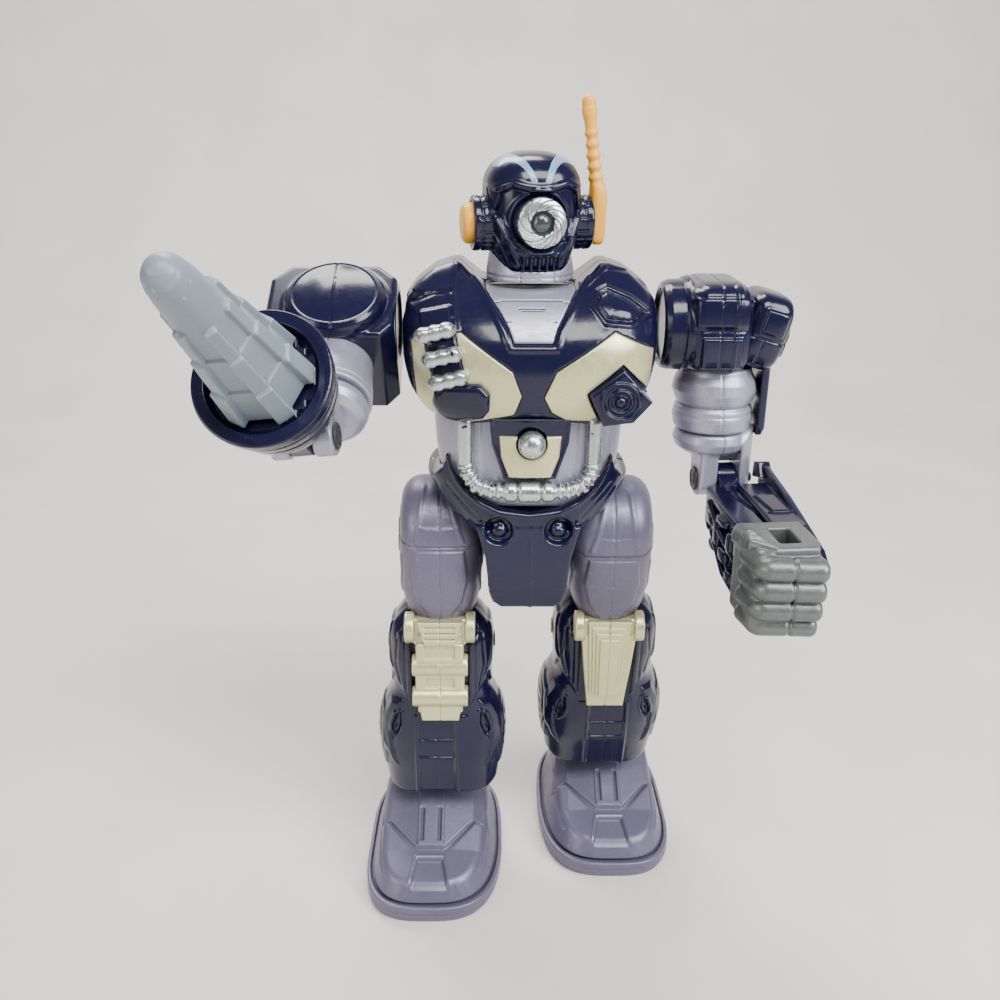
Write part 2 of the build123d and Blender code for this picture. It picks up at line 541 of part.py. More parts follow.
def make_legs():
    thigh, guard, shin, pin = leg_pieces()
    sole, upper = foot_pieces()
    outer_thigh, inner_thigh = split_halves(thigh, LEG_X)
    outer_shin, inner_shin = split_halves(shin, SHIN_X)
    pieces = {"thigh_outer_shell": outer_thigh, "thigh_inner_shell": inner_thigh, "knee_guard": guard,
              "shin_outer_shell": outer_shin, "shin_inner_shell": inner_shin, "ankle_pin": pin}
    for name, solid in pieces.items():
        add("left_" + name, solid, "left_leg")
        add("right_" + name, mirrored(solid), "right_leg")
    for name, solid in {"foot_sole": sole, "foot_upper": upper}.items():
        add("left_" + name, solid, "left_foot")
        add("right_" + name, mirrored(solid), "right_foot")


# ---- build and write ----------------------------------------------------
chest_front, chest_back = make_chest()
chest_front = make_belly(chest_front)
pins = make_shoulder_pins()
add("chest_front_shell", chest_front - pins)
add("shoulder_pins", pins)
make_abdomen(chest_front)
make_pelvis()
make_inside_works()
make_back(chest_back - pins)
make_head()
make_left_arm()
make_right_arm()
make_legs()

os.makedirs("parts", exist_ok=True)
bounds = Compound(children=[Compound(solid.solids()) for solid in PARTS.values()]).bounding_box()
to_origin = Pos(-(bounds.min.X + bounds.max.X) / 2, -(bounds.min.Y + bounds.max.Y) / 2, -bounds.min.Z)
for name, solid in PARTS.items():
    placed = to_origin * solid
    placed.label = name
    export_step(placed, os.path.join("parts", name + ".step"))
print(len(PARTS), "nodes, body axis at", to_origin.position)
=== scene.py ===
import math

import bpy
import numpy as np
from mathutils import Matrix, Vector


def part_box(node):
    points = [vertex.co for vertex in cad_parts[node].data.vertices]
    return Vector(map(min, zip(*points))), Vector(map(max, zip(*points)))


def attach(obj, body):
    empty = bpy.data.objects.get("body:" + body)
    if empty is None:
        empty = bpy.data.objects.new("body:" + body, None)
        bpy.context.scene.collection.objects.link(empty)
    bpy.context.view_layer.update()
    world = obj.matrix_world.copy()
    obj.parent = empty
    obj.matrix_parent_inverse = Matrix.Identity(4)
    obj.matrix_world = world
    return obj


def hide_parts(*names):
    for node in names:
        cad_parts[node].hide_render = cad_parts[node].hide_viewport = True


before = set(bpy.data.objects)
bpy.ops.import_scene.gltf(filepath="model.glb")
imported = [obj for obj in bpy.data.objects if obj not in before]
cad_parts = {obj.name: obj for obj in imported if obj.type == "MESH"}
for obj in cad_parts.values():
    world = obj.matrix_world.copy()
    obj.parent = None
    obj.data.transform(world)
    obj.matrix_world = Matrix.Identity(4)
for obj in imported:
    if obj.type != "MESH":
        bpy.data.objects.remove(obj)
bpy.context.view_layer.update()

# The pieces are drawn in millimetres around the body's own axis, with the floor at z = 0,
# as solid fields: a function gives each point's distance from the surface, negative inside.
# Each field is then meshed on a grid of small cells and carried to its place on the CAD.
shaft_low, shaft_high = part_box("hip_shaft")
AXIS_X = (shaft_low.x + shaft_high.x) / 2
AXIS_Y = (shaft_low.y + shaft_high.y) / 2
HIP_Z = (shaft_low.z + shaft_high.z) / 2 * 1000
ANKLE_Z = 22.0
LEG_LENGTH = 109.2
LEG_TILT = math.acos((HIP_Z - ANKLE_Z) / LEG_LENGTH)
STEP_HALF = LEG_LENGTH * math.sin(LEG_TILT)
SHOULDER_Z = 199.0
ELBOW_Z = 149.5
ELBOW_Y = -4.0
ELBOW = (ELBOW_Y, ELBOW_Z)
SHOULDER = (0.0, SHOULDER_Z)
ARM_X = 60.0
TONGUE_SPAN = (ARM_X + 1.0, ARM_X + 7.4)
LEFT_SWIVEL = math.radians(5.0)
RIGHT_RAISE = math.radians(57.0)
RIGHT_SWIVEL = math.radians(8.1)
RIGHT_STRAIGHTEN = math.radians(21.1)
HEAD_TURN = math.radians(9.5)
LEG_X = 28.4
FOOT_X = 30.5
COARSE = 1.0


# ---- fields ---------------------------------------------------------------
def hypot(*parts):
    """Length of a vector given by its parts."""
    return np.sqrt(sum(part * part for part in parts))


def union(*fields):
    """Both solids together."""
    return np.minimum.reduce(fields)


def both(*fields):
    """What the solids share."""
    return np.maximum.reduce(fields)


def melt(a, b, radius):
    """Union with a fillet of about that radius."""
    h = np.clip(0.5 + 0.5 * (b - a) / radius, 0, 1)
    return b + (a - b) * h - radius * h * (1 - h)


def trim(a, b, radius):
    """Intersection with a rounded edge."""
    return -melt(-a, -b, radius)


def carve(a, b, radius=0.4):
    """a with b cut out of it."""
    return trim(a, -b, radius)


def ramp(distance, width):
    """0 below zero, rising smoothly to 1 over width."""
    t = np.clip(distance / width, 0, 1)
    return t * t * (3 - 2 * t)


def bump(distance, half_width):
    """A rounded ridge's profile: 1 on the line, 0 at half_width."""
    t = np.clip(1 - np.abs(distance) / half_width, 0, 1)
    return t * t * (3 - 2 * t)


def box(p, low, high, radius=0.6):
    """A box between two corners, with rounded edges."""
    offsets = []
    for axis in range(3):
        middle, half = (low[axis] + high[axis]) / 2, (high[axis] - low[axis]) / 2
        offsets.append(np.abs(p[axis] - middle) - (half - radius))
    outside = hypot(*[np.maximum(q, 0) for q in offsets])
    return outside + np.minimum(both(*offsets), 0) - radius


def rod(p, axis, start, end, centre, radius, edge=0.5):
    """A cylinder along one axis; centre is its place on the other two, in order."""
    others = [i for i in range(3) if i != axis]
    around = hypot(p[others[0]] - centre[0], p[others[1]] - centre[1]) - (radius - edge)
    along = np.abs(p[axis] - (start + end) / 2) - (abs(end - start) / 2 - edge)
    outside = hypot(np.maximum(around, 0), np.maximum(along, 0))
    return outside + np.minimum(np.maximum(around, along), 0) - edge


def ball(p, centre, radius):
    """A sphere."""
    return hypot(p[0] - centre[0], p[1] - centre[1], p[2] - centre[2]) - radius


def limb(p, start, end, start_radius, end_radius=None):
    """A round-ended bar between two points, tapering from one radius to the other."""
    end_radius = start_radius if end_radius is None else end_radius
    a, b = np.array(start, float), np.array(end, float)
    d = b - a
    t = sum((p[i] - a[i]) * d[i] for i in range(3)) / (d @ d)
    t = np.clip(t, 0, 1)
    radius = start_radius + (end_radius - start_radius) * t
    return hypot(*[p[i] - a[i] - t * d[i] for i in range(3)]) - radius


def egg(p, centre, radii, power=2.0):
    """A superellipsoid: power 2 is an ellipsoid, and higher powers are boxier."""
    q = [np.abs(p[i] - centre[i]) / radii[i] + 1e-6 for i in range(3)]
    s = sum(v ** power for v in q) ** (1 / power)
    slope = hypot(*[(q[i] / s) ** (power - 1) / radii[i] for i in range(3)])
    return (s - 1) / slope


def cap_ends(field, z, low, high, radius):
    """Cuts a column off at two heights, with rounded edges."""
    return trim(field, np.maximum(low - z, z - high), radius)


def outline(u, v, points):
    """Distance from a closed outline, negative inside it."""
    nearest = np.full(u.shape, 1e9)
    inside = np.zeros(u.shape, bool)
    for (ua, va), (ub, vb) in zip(points, points[1:] + points[:1]):
        du, dv = ub - ua, vb - va
        t = np.clip(((u - ua) * du + (v - va) * dv) / (du * du + dv * dv), 0, 1)
        nearest = np.minimum(nearest, hypot(u - ua - t * du, v - va - t * dv))
        if dv:
            crosses = (va > v) != (vb > v)
            inside ^= crosses & (u < ua + (v - va) / dv * du)
    return np.where(inside, -nearest, nearest)


def line(u, v, points):
    """Distance from an open line of straight runs."""
    nearest = np.full(u.shape, 1e9)
    for (ua, va), (ub, vb) in zip(points, points[1:]):
        du, dv = ub - ua, vb - va
        t = np.clip(((u - ua) * du + (v - va) * dv) / (du * du + dv * dv), 0, 1)
        nearest = np.minimum(nearest, hypot(u - ua - t * du, v - va - t * dv))
    return nearest


def plate(flat, across, low, high, radius=0.5):
    """A flat outline given thickness between two levels, with rounded edges."""
    wall = np.abs(across - (low + high) / 2) - ((high - low) / 2 - radius)
    side = flat + radius
    outside = hypot(np.maximum(side, 0), np.maximum(wall, 0))
    return outside + np.minimum(np.maximum(side, wall), 0) - radius


def mirrored(points):
    """An outline that is alike on both sides, from the points on one side."""
    return points + [(-u, v) for u, v in reversed(points)]


# ---- meshing --------------------------------------------------------------
BLOCK = 6


def sample(field, low, cell, count):
    """The field on a grid, worked out only in the blocks that are near its surface."""
    blocks = -(-count // BLOCK)
    span = BLOCK * cell
    centres = [low[i] + (np.arange(blocks[i]) * BLOCK + (BLOCK - 1) / 2) * cell for i in range(3)]
    grid = np.stack(np.meshgrid(*centres, indexing="ij")).reshape(3, -1)
    rough = field(grid)
    near = np.abs(rough) < span * 1.25 + 1.2
    full = np.repeat(np.repeat(np.repeat(rough.reshape(blocks), BLOCK, 0), BLOCK, 1), BLOCK, 2)
    full = full.astype(np.float32)
    where = np.stack(np.unravel_index(np.nonzero(near)[0], blocks))
    steps = np.stack(np.meshgrid(*[np.arange(BLOCK)] * 3, indexing="ij")).reshape(3, 1, -1)
    index = (where[:, :, None] * BLOCK + steps).reshape(3, -1)
    points = index * cell + np.array(low, float)[:, None]
    full[tuple(index)] = field(points)
    return full


def surface(values, low, cell):
    """One vertex per cell that the surface crosses, and a quad across each crossed edge."""
    inside = values < 0
    size = np.array(values.shape) - 1
    corners = [(i, j, k) for i in (0, 1) for j in (0, 1) for k in (0, 1)]
    total = np.zeros(size, np.uint8)
    for i, j, k in corners:
        total += inside[i:i + size[0], j:j + size[1], k:k + size[2]]
    crossed = (total > 0) & (total < 8)
    cells = np.stack(np.nonzero(crossed))
    number = np.full(size, -1, np.int64)
    number[crossed] = np.arange(cells.shape[1])
    position = np.zeros((3, cells.shape[1]))
    hits = np.zeros(cells.shape[1])
    for corner in corners:
        for axis in range(3):
            if corner[axis]:
                continue
            other = list(corner)
            other[axis] = 1
            a = values[tuple(cells + np.array(corner)[:, None])].astype(float)
            b = values[tuple(cells + np.array(other)[:, None])].astype(float)
            cut = (a < 0) != (b < 0)
            t = np.where(cut, a / np.where(cut, a - b, 1), 0)
            for i in range(3):
                position[i] += cut * (corner[i] + (t if i == axis else 0))
            hits += cut
    points = (cells + position / hits) * cell + np.array(low, float)[:, None]
    quads = []
    for axis in range(3):
        one, two = [(1, 2), (2, 0), (0, 1)][axis]
        lower = [slice(None)] * 3
        upper = [slice(None)] * 3
        lower[axis], upper[axis] = slice(0, -1), slice(1, None)
        a, b = inside[tuple(lower)], inside[tuple(upper)]
        edge = np.stack(np.nonzero(a != b))
        sides = edge[[one, two]]
        edge = edge[:, np.all((sides > 0) & (sides < size[[one, two]][:, None]), axis=0)]
        ring = []
        for s, t in ((-1, -1), (0, -1), (0, 0), (-1, 0)):
            near = edge.copy()
            near[one] += s
            near[two] += t
            ring.append(number[tuple(near)])
        quad = np.stack(ring, 1)
        flip = ~a[tuple(edge)]
        quad[flip] = quad[flip][:, ::-1]
        quads.append(quad)
    return points, np.concatenate(quads)


def settle(field, points, cell):
    """Moves the vertices onto the field's surface."""
    h = 0.2 * cell
    for _ in range(2):
        value = field(points)
        slope = np.zeros_like(points)
        for axis in range(3):
            ahead, behind = points.copy(), points.copy()
            ahead[axis] += h
            behind[axis] -= h
            slope[axis] = (field(ahead) - field(behind)) / (2 * h)
        steep = np.maximum((slope ** 2).sum(0), 0.2)
        move = -slope * value / steep
        long = np.maximum(hypot(*move) / (0.45 * cell), 1)
        points = points + move / long
    return points


def to_object(name, points, quads, place, mirrored=False):
    """A mesh object from points in millimetres, put in its place."""
    if mirrored:
        points = points * np.array([-1.0, 1.0, 1.0])[:, None]
        quads = quads[:, ::-1]
    matrix = np.array(place, float)
    points = (matrix[:3, :3] @ points + matrix[:3, 3:]) / 1000
    points[0] += AXIS_X
    points[1] += AXIS_Y
    mesh = bpy.data.meshes.new(name)
    mesh.vertices.add(points.shape[1])
    mesh.vertices.foreach_set("co", points.T.astype(np.float32).ravel())
    mesh.loops.add(quads.size)
    mesh.loops.foreach_set("vertex_index", quads.astype(np.int32).ravel())
    mesh.polygons.add(len(quads))
    mesh.polygons.foreach_set("loop_start", np.arange(0, quads.size, 4, dtype=np.int32))
    mesh.polygons.foreach_set("use_smooth", np.ones(len(quads), bool))
    mesh.update(calc_edges=True)
    piece = bpy.data.objects.new(name, mesh)
    bpy.context.scene.collection.objects.link(piece)
    return piece


def make(name, field, low, high, material, body, stands_for=(), cell=0.5, place=None, mirrored=False):
    """Meshes a field between two corners and puts it on its CAD body."""
    cell = cell * COARSE
    low = np.array(low, float) - 2 * cell
    count = np.ceil((np.array(high, float) + 2 * cell - low) / cell).astype(int) + 1
    values = sample(field, low, cell, count)
    points, quads = surface(values, low, cell)
    points = settle(field, points, cell)
    piece = to_object(name, points, quads, place or Matrix.Identity(4), mirrored)
    piece.data.materials.append(MATERIALS[material])
    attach(piece, body)
    if stands_for:
        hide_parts(*stands_for)
    return piece


# ---- places ---------------------------------------------------------------
def turn(angle, axis, pivot):
    """A turn by an angle about an axis through a point."""
    return Matrix.Translation(pivot) @ Matrix.Rotation(angle, 4, axis) @ Matrix.Translation(-Vector(pivot))


HEAD_PLACE = turn(HEAD_TURN, "Z", (0, 0, 0))
LEFT_ARM_PLACE = turn(LEFT_SWIVEL, "Z", (ARM_X, 0, 0))
RIGHT_ARM_PLACE = turn(-RIGHT_RAISE, "X", (0, 0, SHOULDER_Z))
RIGHT_LOWER_PLACE = RIGHT_ARM_PLACE @ turn(-RIGHT_SWIVEL, "Z", (-ARM_X, 0, 0))
RIGHT_FOREARM_PLACE = RIGHT_LOWER_PLACE @ turn(RIGHT_STRAIGHTEN, "X", (0, ELBOW_Y, ELBOW_Z))
LEFT_LEG_PLACE = turn(LEG_TILT, "X", (0, 0, HIP_Z))
RIGHT_LEG_PLACE = turn(-LEG_TILT, "X", (0, 0, HIP_Z))
LEFT_FOOT_PLACE = Matrix.Translation((0, STEP_HALF, 0))
RIGHT_FOOT_PLACE = Matrix.Translation((0, -STEP_HALF, 0))


# ---- materials ------------------------------------------------------------
def node(tree, kind, links=(), **settings):
    """A shader node with its settings, its plain values and its links."""
    made = tree.nodes.new(kind)
    for key, value in settings.items():
        setattr(made, key, value)
    for socket, value in links:
        if isinstance(value, bpy.types.NodeSocket):
            tree.links.new(value, made.inputs[socket])
        else:
            made.inputs[socket].default_value = value
    return made


def noise(tree, coords, scale, detail=3.0, rough=0.55):
    """A noise texture's value."""
    return node(tree, "ShaderNodeTexNoise", [("Vector", coords), ("Scale", scale), ("Detail", detail),
                                             ("Roughness", rough)]).outputs["Fac"]


def spread(tree, value, low, high, out_low=0.0, out_high=1.0):
    """A value carried from one range to another, and held within it."""
    return node(tree, "ShaderNodeMapRange", [("Value", value), ("From Min", low), ("From Max", high),
                                             ("To Min", out_low), ("To Max", out_high)]).outputs["Result"]


def blend_colours(tree, share, one, two):
    """A mix of two colours by a share."""
    mix = node(tree, "ShaderNodeMix", data_type="RGBA")
    for index, value in ((0, share), (6, one), (7, two)):
        if isinstance(value, bpy.types.NodeSocket):
            tree.links.new(value, mix.inputs[index])
        else:
            mix.inputs[index].default_value = value
    return mix.outputs[2]


def times(tree, one, two):
    return node(tree, "ShaderNodeMath", [(0, one), (1, two)], operation="MULTIPLY").outputs[0]


DRIFT_SCALE, PATCH_SCALE, CHIP_SCALE, SCUFF_SCALE, GRAIN_SCALE = 28.0, 160.0, 330.0, 420.0, 2600.0
CHIP_COLOUR = (0.006, 0.006, 0.012, 1)


def finish_material(name, colour, edge, corner_shade_colour, rough, metallic=0.0, coat=0.0, grain=0.0, specks=0.0,
                    worn=0.35, specular=0.5, bump=0.02, scatter=0.0):
    """A moulded or painted surface: drifting colour, fine grain, worn edges, painted shade darkening its
    corners and creases, and scuffs.
    """
    material = bpy.data.materials.new(name)
    material.use_nodes = True
    tree = material.node_tree
    shader = tree.nodes["Principled BSDF"]
    coords = node(tree, "ShaderNodeTexCoord").outputs["Object"]
    drift = noise(tree, coords, DRIFT_SCALE, 4.0)
    fine = noise(tree, coords, GRAIN_SCALE, 2.0)
    drawn_out = node(tree, "ShaderNodeMapping", [("Vector", coords), ("Scale", (1.0, 3.5, 0.6)),
                                                 ("Rotation", (0.5, 0.9, 0.2))]).outputs[0]
    scuff = noise(tree, drawn_out, SCUFF_SCALE, 5.0, 0.7)
    point = node(tree, "ShaderNodeNewGeometry").outputs["Pointiness"]
    ridge = spread(tree, point, 0.515, 0.6)
    # Low pointiness marks corners and creases: the mask for the painted shade.
    corner = spread(tree, point, 0.485, 0.42)
    base = blend_colours(tree, spread(tree, drift, 0.3, 0.7), (*[c * 0.86 for c in colour], 1), (*colour, 1))
    if grain:
        flake = spread(tree, fine, 0.35, 0.7, 0.0, grain)
        base = blend_colours(tree, flake, base, (*[min(1, c * 1.5 + 0.05) for c in colour], 1))
    patchy = spread(tree, noise(tree, coords, PATCH_SCALE, 4.0), 0.35, 0.65, 0.3, 1.0)
    base = blend_colours(tree, times(tree, times(tree, ridge, patchy), worn), base, (*edge, 1))
    # Painted shade: corners and creases are darkened three quarters of the way towards the corner shade
    # colour, standing in for the shade that falls there.
    base = blend_colours(tree, times(tree, corner, 0.75), base, (*corner_shade_colour, 1))
    if specks:
        chips = spread(tree, noise(tree, coords, CHIP_SCALE, 5.0, 0.75),
                       0.66 - specks * 0.1, 0.68 - specks * 0.1)
        base = blend_colours(tree, chips, base, CHIP_COLOUR)
    tree.links.new(base, shader.inputs["Base Color"])
    gloss = spread(tree, scuff, 0.35, 0.8, rough * 0.8, min(1.0, rough * 1.5 + 0.04))
    tree.links.new(gloss, shader.inputs["Roughness"])
    height = node(tree, "ShaderNodeMath", [(0, times(tree, fine, 0.5)), (1, times(tree, scuff, 0.6))],
                  operation="ADD").outputs[0]
    slope = node(tree, "ShaderNodeBump", [("Strength", bump), ("Distance", 0.0004), ("Height", height)])
    tree.links.new(slope.outputs[0], shader.inputs["Normal"])
    shader.inputs["Metallic"].default_value = metallic
    shader.inputs["Specular IOR Level"].default_value = specular
    shader.inputs["Coat Weight"].default_value = coat
    shader.inputs["Coat Roughness"].default_value = 0.06
    if scatter:
        shader.inputs["Subsurface Weight"].default_value = scatter
        shader.inputs["Subsurface Radius"].default_value = (0.004, 0.002, 0.001)
    return material


FINISHES = {
    # name: colour, worn edge, painted shade colour for corners and creases, roughness, and what else it has
    "navy_plastic": ((0.0052, 0.0055, 0.027), (0.022, 0.024, 0.062), (0.002, 0.002, 0.008), 0.17,
                     dict(coat=0.16, bump=0.04, specular=0.34)),
    "lilac_silver": ((0.33, 0.32, 0.41), (0.55, 0.54, 0.62), (0.10, 0.095, 0.13), 0.36,
                     dict(metallic=0.55, grain=0.35, bump=0.10)),
    "purple_plastic": ((0.115, 0.105, 0.165), (0.28, 0.27, 0.37), (0.025, 0.022, 0.04), 0.36,
                       dict(metallic=0.35, grain=0.25, bump=0.08)),
    "gold_paint": ((0.60, 0.585, 0.33), (0.80, 0.79, 0.60), (0.16, 0.15, 0.07), 0.34,
                   dict(metallic=0.6, grain=0.2, bump=0.08)),
    "silver_paint": ((0.55, 0.57, 0.59), (0.86, 0.88, 0.9), (0.03, 0.03, 0.04), 0.25,
                     dict(metallic=0.9, specks=0.5, bump=0.04)),
    "eye_silver": ((0.66, 0.68, 0.71), (0.88, 0.9, 0.92), (0.30, 0.31, 0.33), 0.22,
                   dict(metallic=0.85, bump=0.0, worn=0.0)),
    "dark_lens": ((0.035, 0.042, 0.05), (0.08, 0.09, 0.1), (0.01, 0.01, 0.012), 0.12, dict(coat=0.6)),
    "yellow_vinyl": ((0.90, 0.42, 0.035), (0.98, 0.6, 0.14), (0.5, 0.17, 0.01), 0.38,
                     dict(scatter=0.1, bump=0.04)),
    "drill_grey": ((0.185, 0.23, 0.27), (0.42, 0.48, 0.53), (0.06, 0.075, 0.09), 0.42,
                   dict(worn=0.6, bump=0.05)),
    "fist_grey": ((0.118, 0.131, 0.130), (0.31, 0.34, 0.35), (0.025, 0.03, 0.03), 0.34,
                  dict(metallic=0.55, grain=0.3, bump=0.08)),
    "steel": ((0.45, 0.45, 0.47), (0.7, 0.7, 0.72), (0.1, 0.1, 0.1), 0.3, dict(metallic=0.95)),
    "black_plastic": ((0.02, 0.02, 0.024), (0.06, 0.06, 0.07), (0.006, 0.006, 0.008), 0.4, dict()),
    "circuit_green": ((0.02, 0.16, 0.06), (0.1, 0.3, 0.15), (0.01, 0.05, 0.02), 0.3, dict()),
    "battery_wrap": ((0.1, 0.12, 0.14), (0.3, 0.3, 0.32), (0.03, 0.03, 0.03), 0.35, dict(metallic=0.3)),
    "stripe_paint": ((0.16, 0.30, 0.45), (0.35, 0.5, 0.62), (0.05, 0.1, 0.18), 0.24, dict(coat=0.3)),
}
MATERIALS = {name: finish_material(name, *finish, **more) for name, (*finish, more) in FINISHES.items()}


# ---- shapes shared by several pieces ---------------------------------------
def smooth_profile(heights, values, soft):
    """A run of values against height, rounded over a distance of about soft."""
    levels = np.arange(heights[0] - 12, heights[-1] + 12, 0.5)
    raw = np.interp(levels, heights, values)
    reach = int(soft * 4)
    kernel = np.exp(-0.5 * (np.arange(-reach, reach + 1) / (soft * 2)) ** 2)
    softened = np.convolve(np.pad(raw, reach, mode="edge"), kernel / kernel.sum(), "valid")
    return levels, softened


def stack(sections, soft=2.0):
    """Prepares a stack of sections as smooth runs of half width, front and back."""
    heights = [s[0] for s in sections]
    return [smooth_profile(heights, [s[i] for s in sections], soft) for i in (1, 2, 3)]


def column(p, runs, power=3.0, centre=0.0):
    """A prepared stack of superellipse sections, standing along Z."""
    x, y, z = p
    width, front, back = [np.interp(z, *run) for run in runs]
    middle, depth = (front + back) / 2, (back - front) / 2
    u = np.abs(x - centre) / width + 1e-6
    v = np.abs(y - middle) / depth + 1e-6
    s = (u ** power + v ** power) ** (1 / power)
    slope = hypot((u / s) ** (power - 1) / width, (v / s) ** (power - 1) / depth)
    return (s - 1) / slope


def lathe(radius, along, profile):
    """Turned about an axis: profile lists distance along it and radius there."""
    return radius - np.interp(along, [a for a, _ in profile], [r for _, r in profile])


def groove(distance, half_width=0.45, depth=0.35):
    """The depth of a narrow line cut in a surface."""
    return depth * bump(distance, half_width)


CHEST = stack([(170, 27, -22, 16), (174, 31.5, -26, 18.5), (180, 36.6, -29, 21.5), (190, 39, -29.8, 23.6),
               (198, 39.4, -28.8, 24), (203, 39.2, -25.8, 23.6), (208, 38.6, -21.5, 22.6), (213, 37, -15, 19),
               (220, 33, -7, 13)])
ABDOMEN = stack([(140, 22, -21, 18), (146.5, 25, -23.5, 19), (154, 27.5, -24, 19.4), (161, 29, -24, 19.5),
                 (172.6, 29.8, -23.5, 18), (180, 29.8, -23, 18)])
BELT = stack([(122, 13, -24, 17.5), (128, 14, -25, 18.5), (134, 17, -25.8, 19.5), (138, 20.5, -26.2, 20),
              (144, 27, -26.8, 21.5), (149, 30.5, -26.6, 22.6), (155, 33, -25.6, 23),
              (166, 33.5, -24.6, 23)], 1.5)
HEAD = stack([(214, 8.4, -12.6, 8), (217.5, 9.6, -13.8, 9.4), (221, 11.6, -14.9, 11.4),
              (226, 13.4, -15.6, 14), (232, 14.4, -15.6, 15.4), (240, 14.6, -15.4, 15.6),
              (256, 14.6, -15.4, 15.6)], 1.0)
THIGH = stack([(97, 8.6, -12.6, 12), (101, 10.2, -14.2, 13.6), (106, 12.4, -16.2, 15.8),
               (112, 13.6, -17.2, 17), (122, 13.9, -17.7, 17.5), (132, 13.2, -17.2, 17.2),
               (150, 11.0, -15, 15)], 1.2)
SHIN = stack([(33, 19.4, -8.6, 19.8), (40, 20.3, -9.8, 20.3), (48, 21.6, -11.6, 21.3), (56, 22.2, -12.8, 22),
              (62, 21.8, -13.2, 22), (68, 20.0, -13.4, 21), (73, 17.2, -13.5, 20), (79, 16.8, -13.7, 19.4),
              (86, 17.5, -13.9, 19), (93, 17.4, -13.2, 18.4), (98, 16.4, -10.6, 17), (102, 13.6, -7, 14.4),
              (106, 8, -2, 9)], 1.0)
FOOT = stack([(6.2, 22.7, -30.4, 43.5), (10, 21.6, -28.6, 42.8), (14, 20.2, -26.6, 41.4),
              (18, 19.2, -22.6, 40), (24, 18.2, -17.4, 37), (31, 17.2, -10.5, 30.5), (36, 16.4, -4, 24)],
             1.2)
SOLE = stack([(-4, 23.4, -31.0, 44.0), (0.4, 23.8, -31.6, 44.6), (2.0, 24.5, -32.4, 45.2),
              (6.2, 24.5, -32.4, 45.2)], 0.4)

V_PLATE = [(-15.4, 214.6), (-11.9, 210.0), (-9.0, 206.4), (-6.8, 202.6), (-5.2, 198.6), (6.0, 198.6),
           (7.4, 202.6), (9.6, 206.4), (11.9, 210.2), (15.4, 214.6)]
V_RIM = [(-16.8, 215.5), (-13.1, 209.6), (-10.2, 205.6), (-8.1, 201.9), (-6.4, 197.3), (7.2, 197.3),
         (8.7, 201.9), (10.8, 205.6), (13.1, 209.8), (16.8, 215.5)]
RIGHT_PLATE = [(-33.4, 200.6), (-35.7, 197.7), (-34.2, 180.2), (-30.6, 175.9), (-18.1, 174.4), (-5.1, 177.4),
               (-2.9, 183.4), (-5.6, 190.6), (-20.6, 201.4)]
LEFT_PLATE = [(24.3, 201.6), (36.8, 195.4), (36.0, 183.0), (26.8, 192.4), (16.3, 184.0), (20.6, 174.6),
              (10.8, 175.4), (6.2, 178.2), (3.8, 183.0), (7.2, 190.6)]
PORT = [(26.9, 191.4), (17.0, 184.0), (21.2, 174.9), (30.0, 176.0), (35.4, 182.2)]
GEM = [(17.6, 208.4), (19.4, 212.2), (22.4, 213.4), (29.5, 210.6), (36.7, 205.4),
       (29.0, 202.8), (21.4, 203.8)]
PORT_CENTRE = (26.0, 182.5)
STRAP_SLOPE = math.radians(13.2)
BAND_CENTRES = ((-28.0, 202.2), (-25.9, 195.4), (-24.1, 188.6))
BAND_Y = -29.6
BUTTON = (0.4, 168.4)
DOOR_SCREW = (0.0, 204.0)
PELVIS_SCREW = (0.0, 120.0)
CHEST_SCREWS = ((32.0, 204.0), (32.0, 181.0))


def chest_bulk(p):
    """The chest without its panels, straps and bosses."""
    x, y, z = p
    ax = np.abs(x)
    body = column(p, CHEST, 3.0)
    crest = np.interp(ax, [0, 12.5, 15, 21, 23.5, 29, 35, 38.5, 41],
                      [212.4, 212.6, 213.4, 218.8, 218.9, 217.2, 213, 209, 203])
    body = trim(body, (z - crest) * 0.8, 2.4)
    hem = np.interp(ax, [0, 5.5, 12, 18, 27, 31, 34.5, 38],
                    [176.2, 176, 174.2, 173.2, 173.6, 176, 179.8, 184])
    hem = np.where(y > 0, 173.4, hem)
    return trim(body, (hem - z) * 0.85, 1.4)


def strap_line(p):
    """Distance along and across the sloping strap on the chest."""
    dx, dz = p[0] + 25.9, p[2] - 195.6
    cos, sin = math.cos(STRAP_SLOPE), math.sin(STRAP_SLOPE)
    return dx * cos + dz * sin, -dx * sin + dz * cos


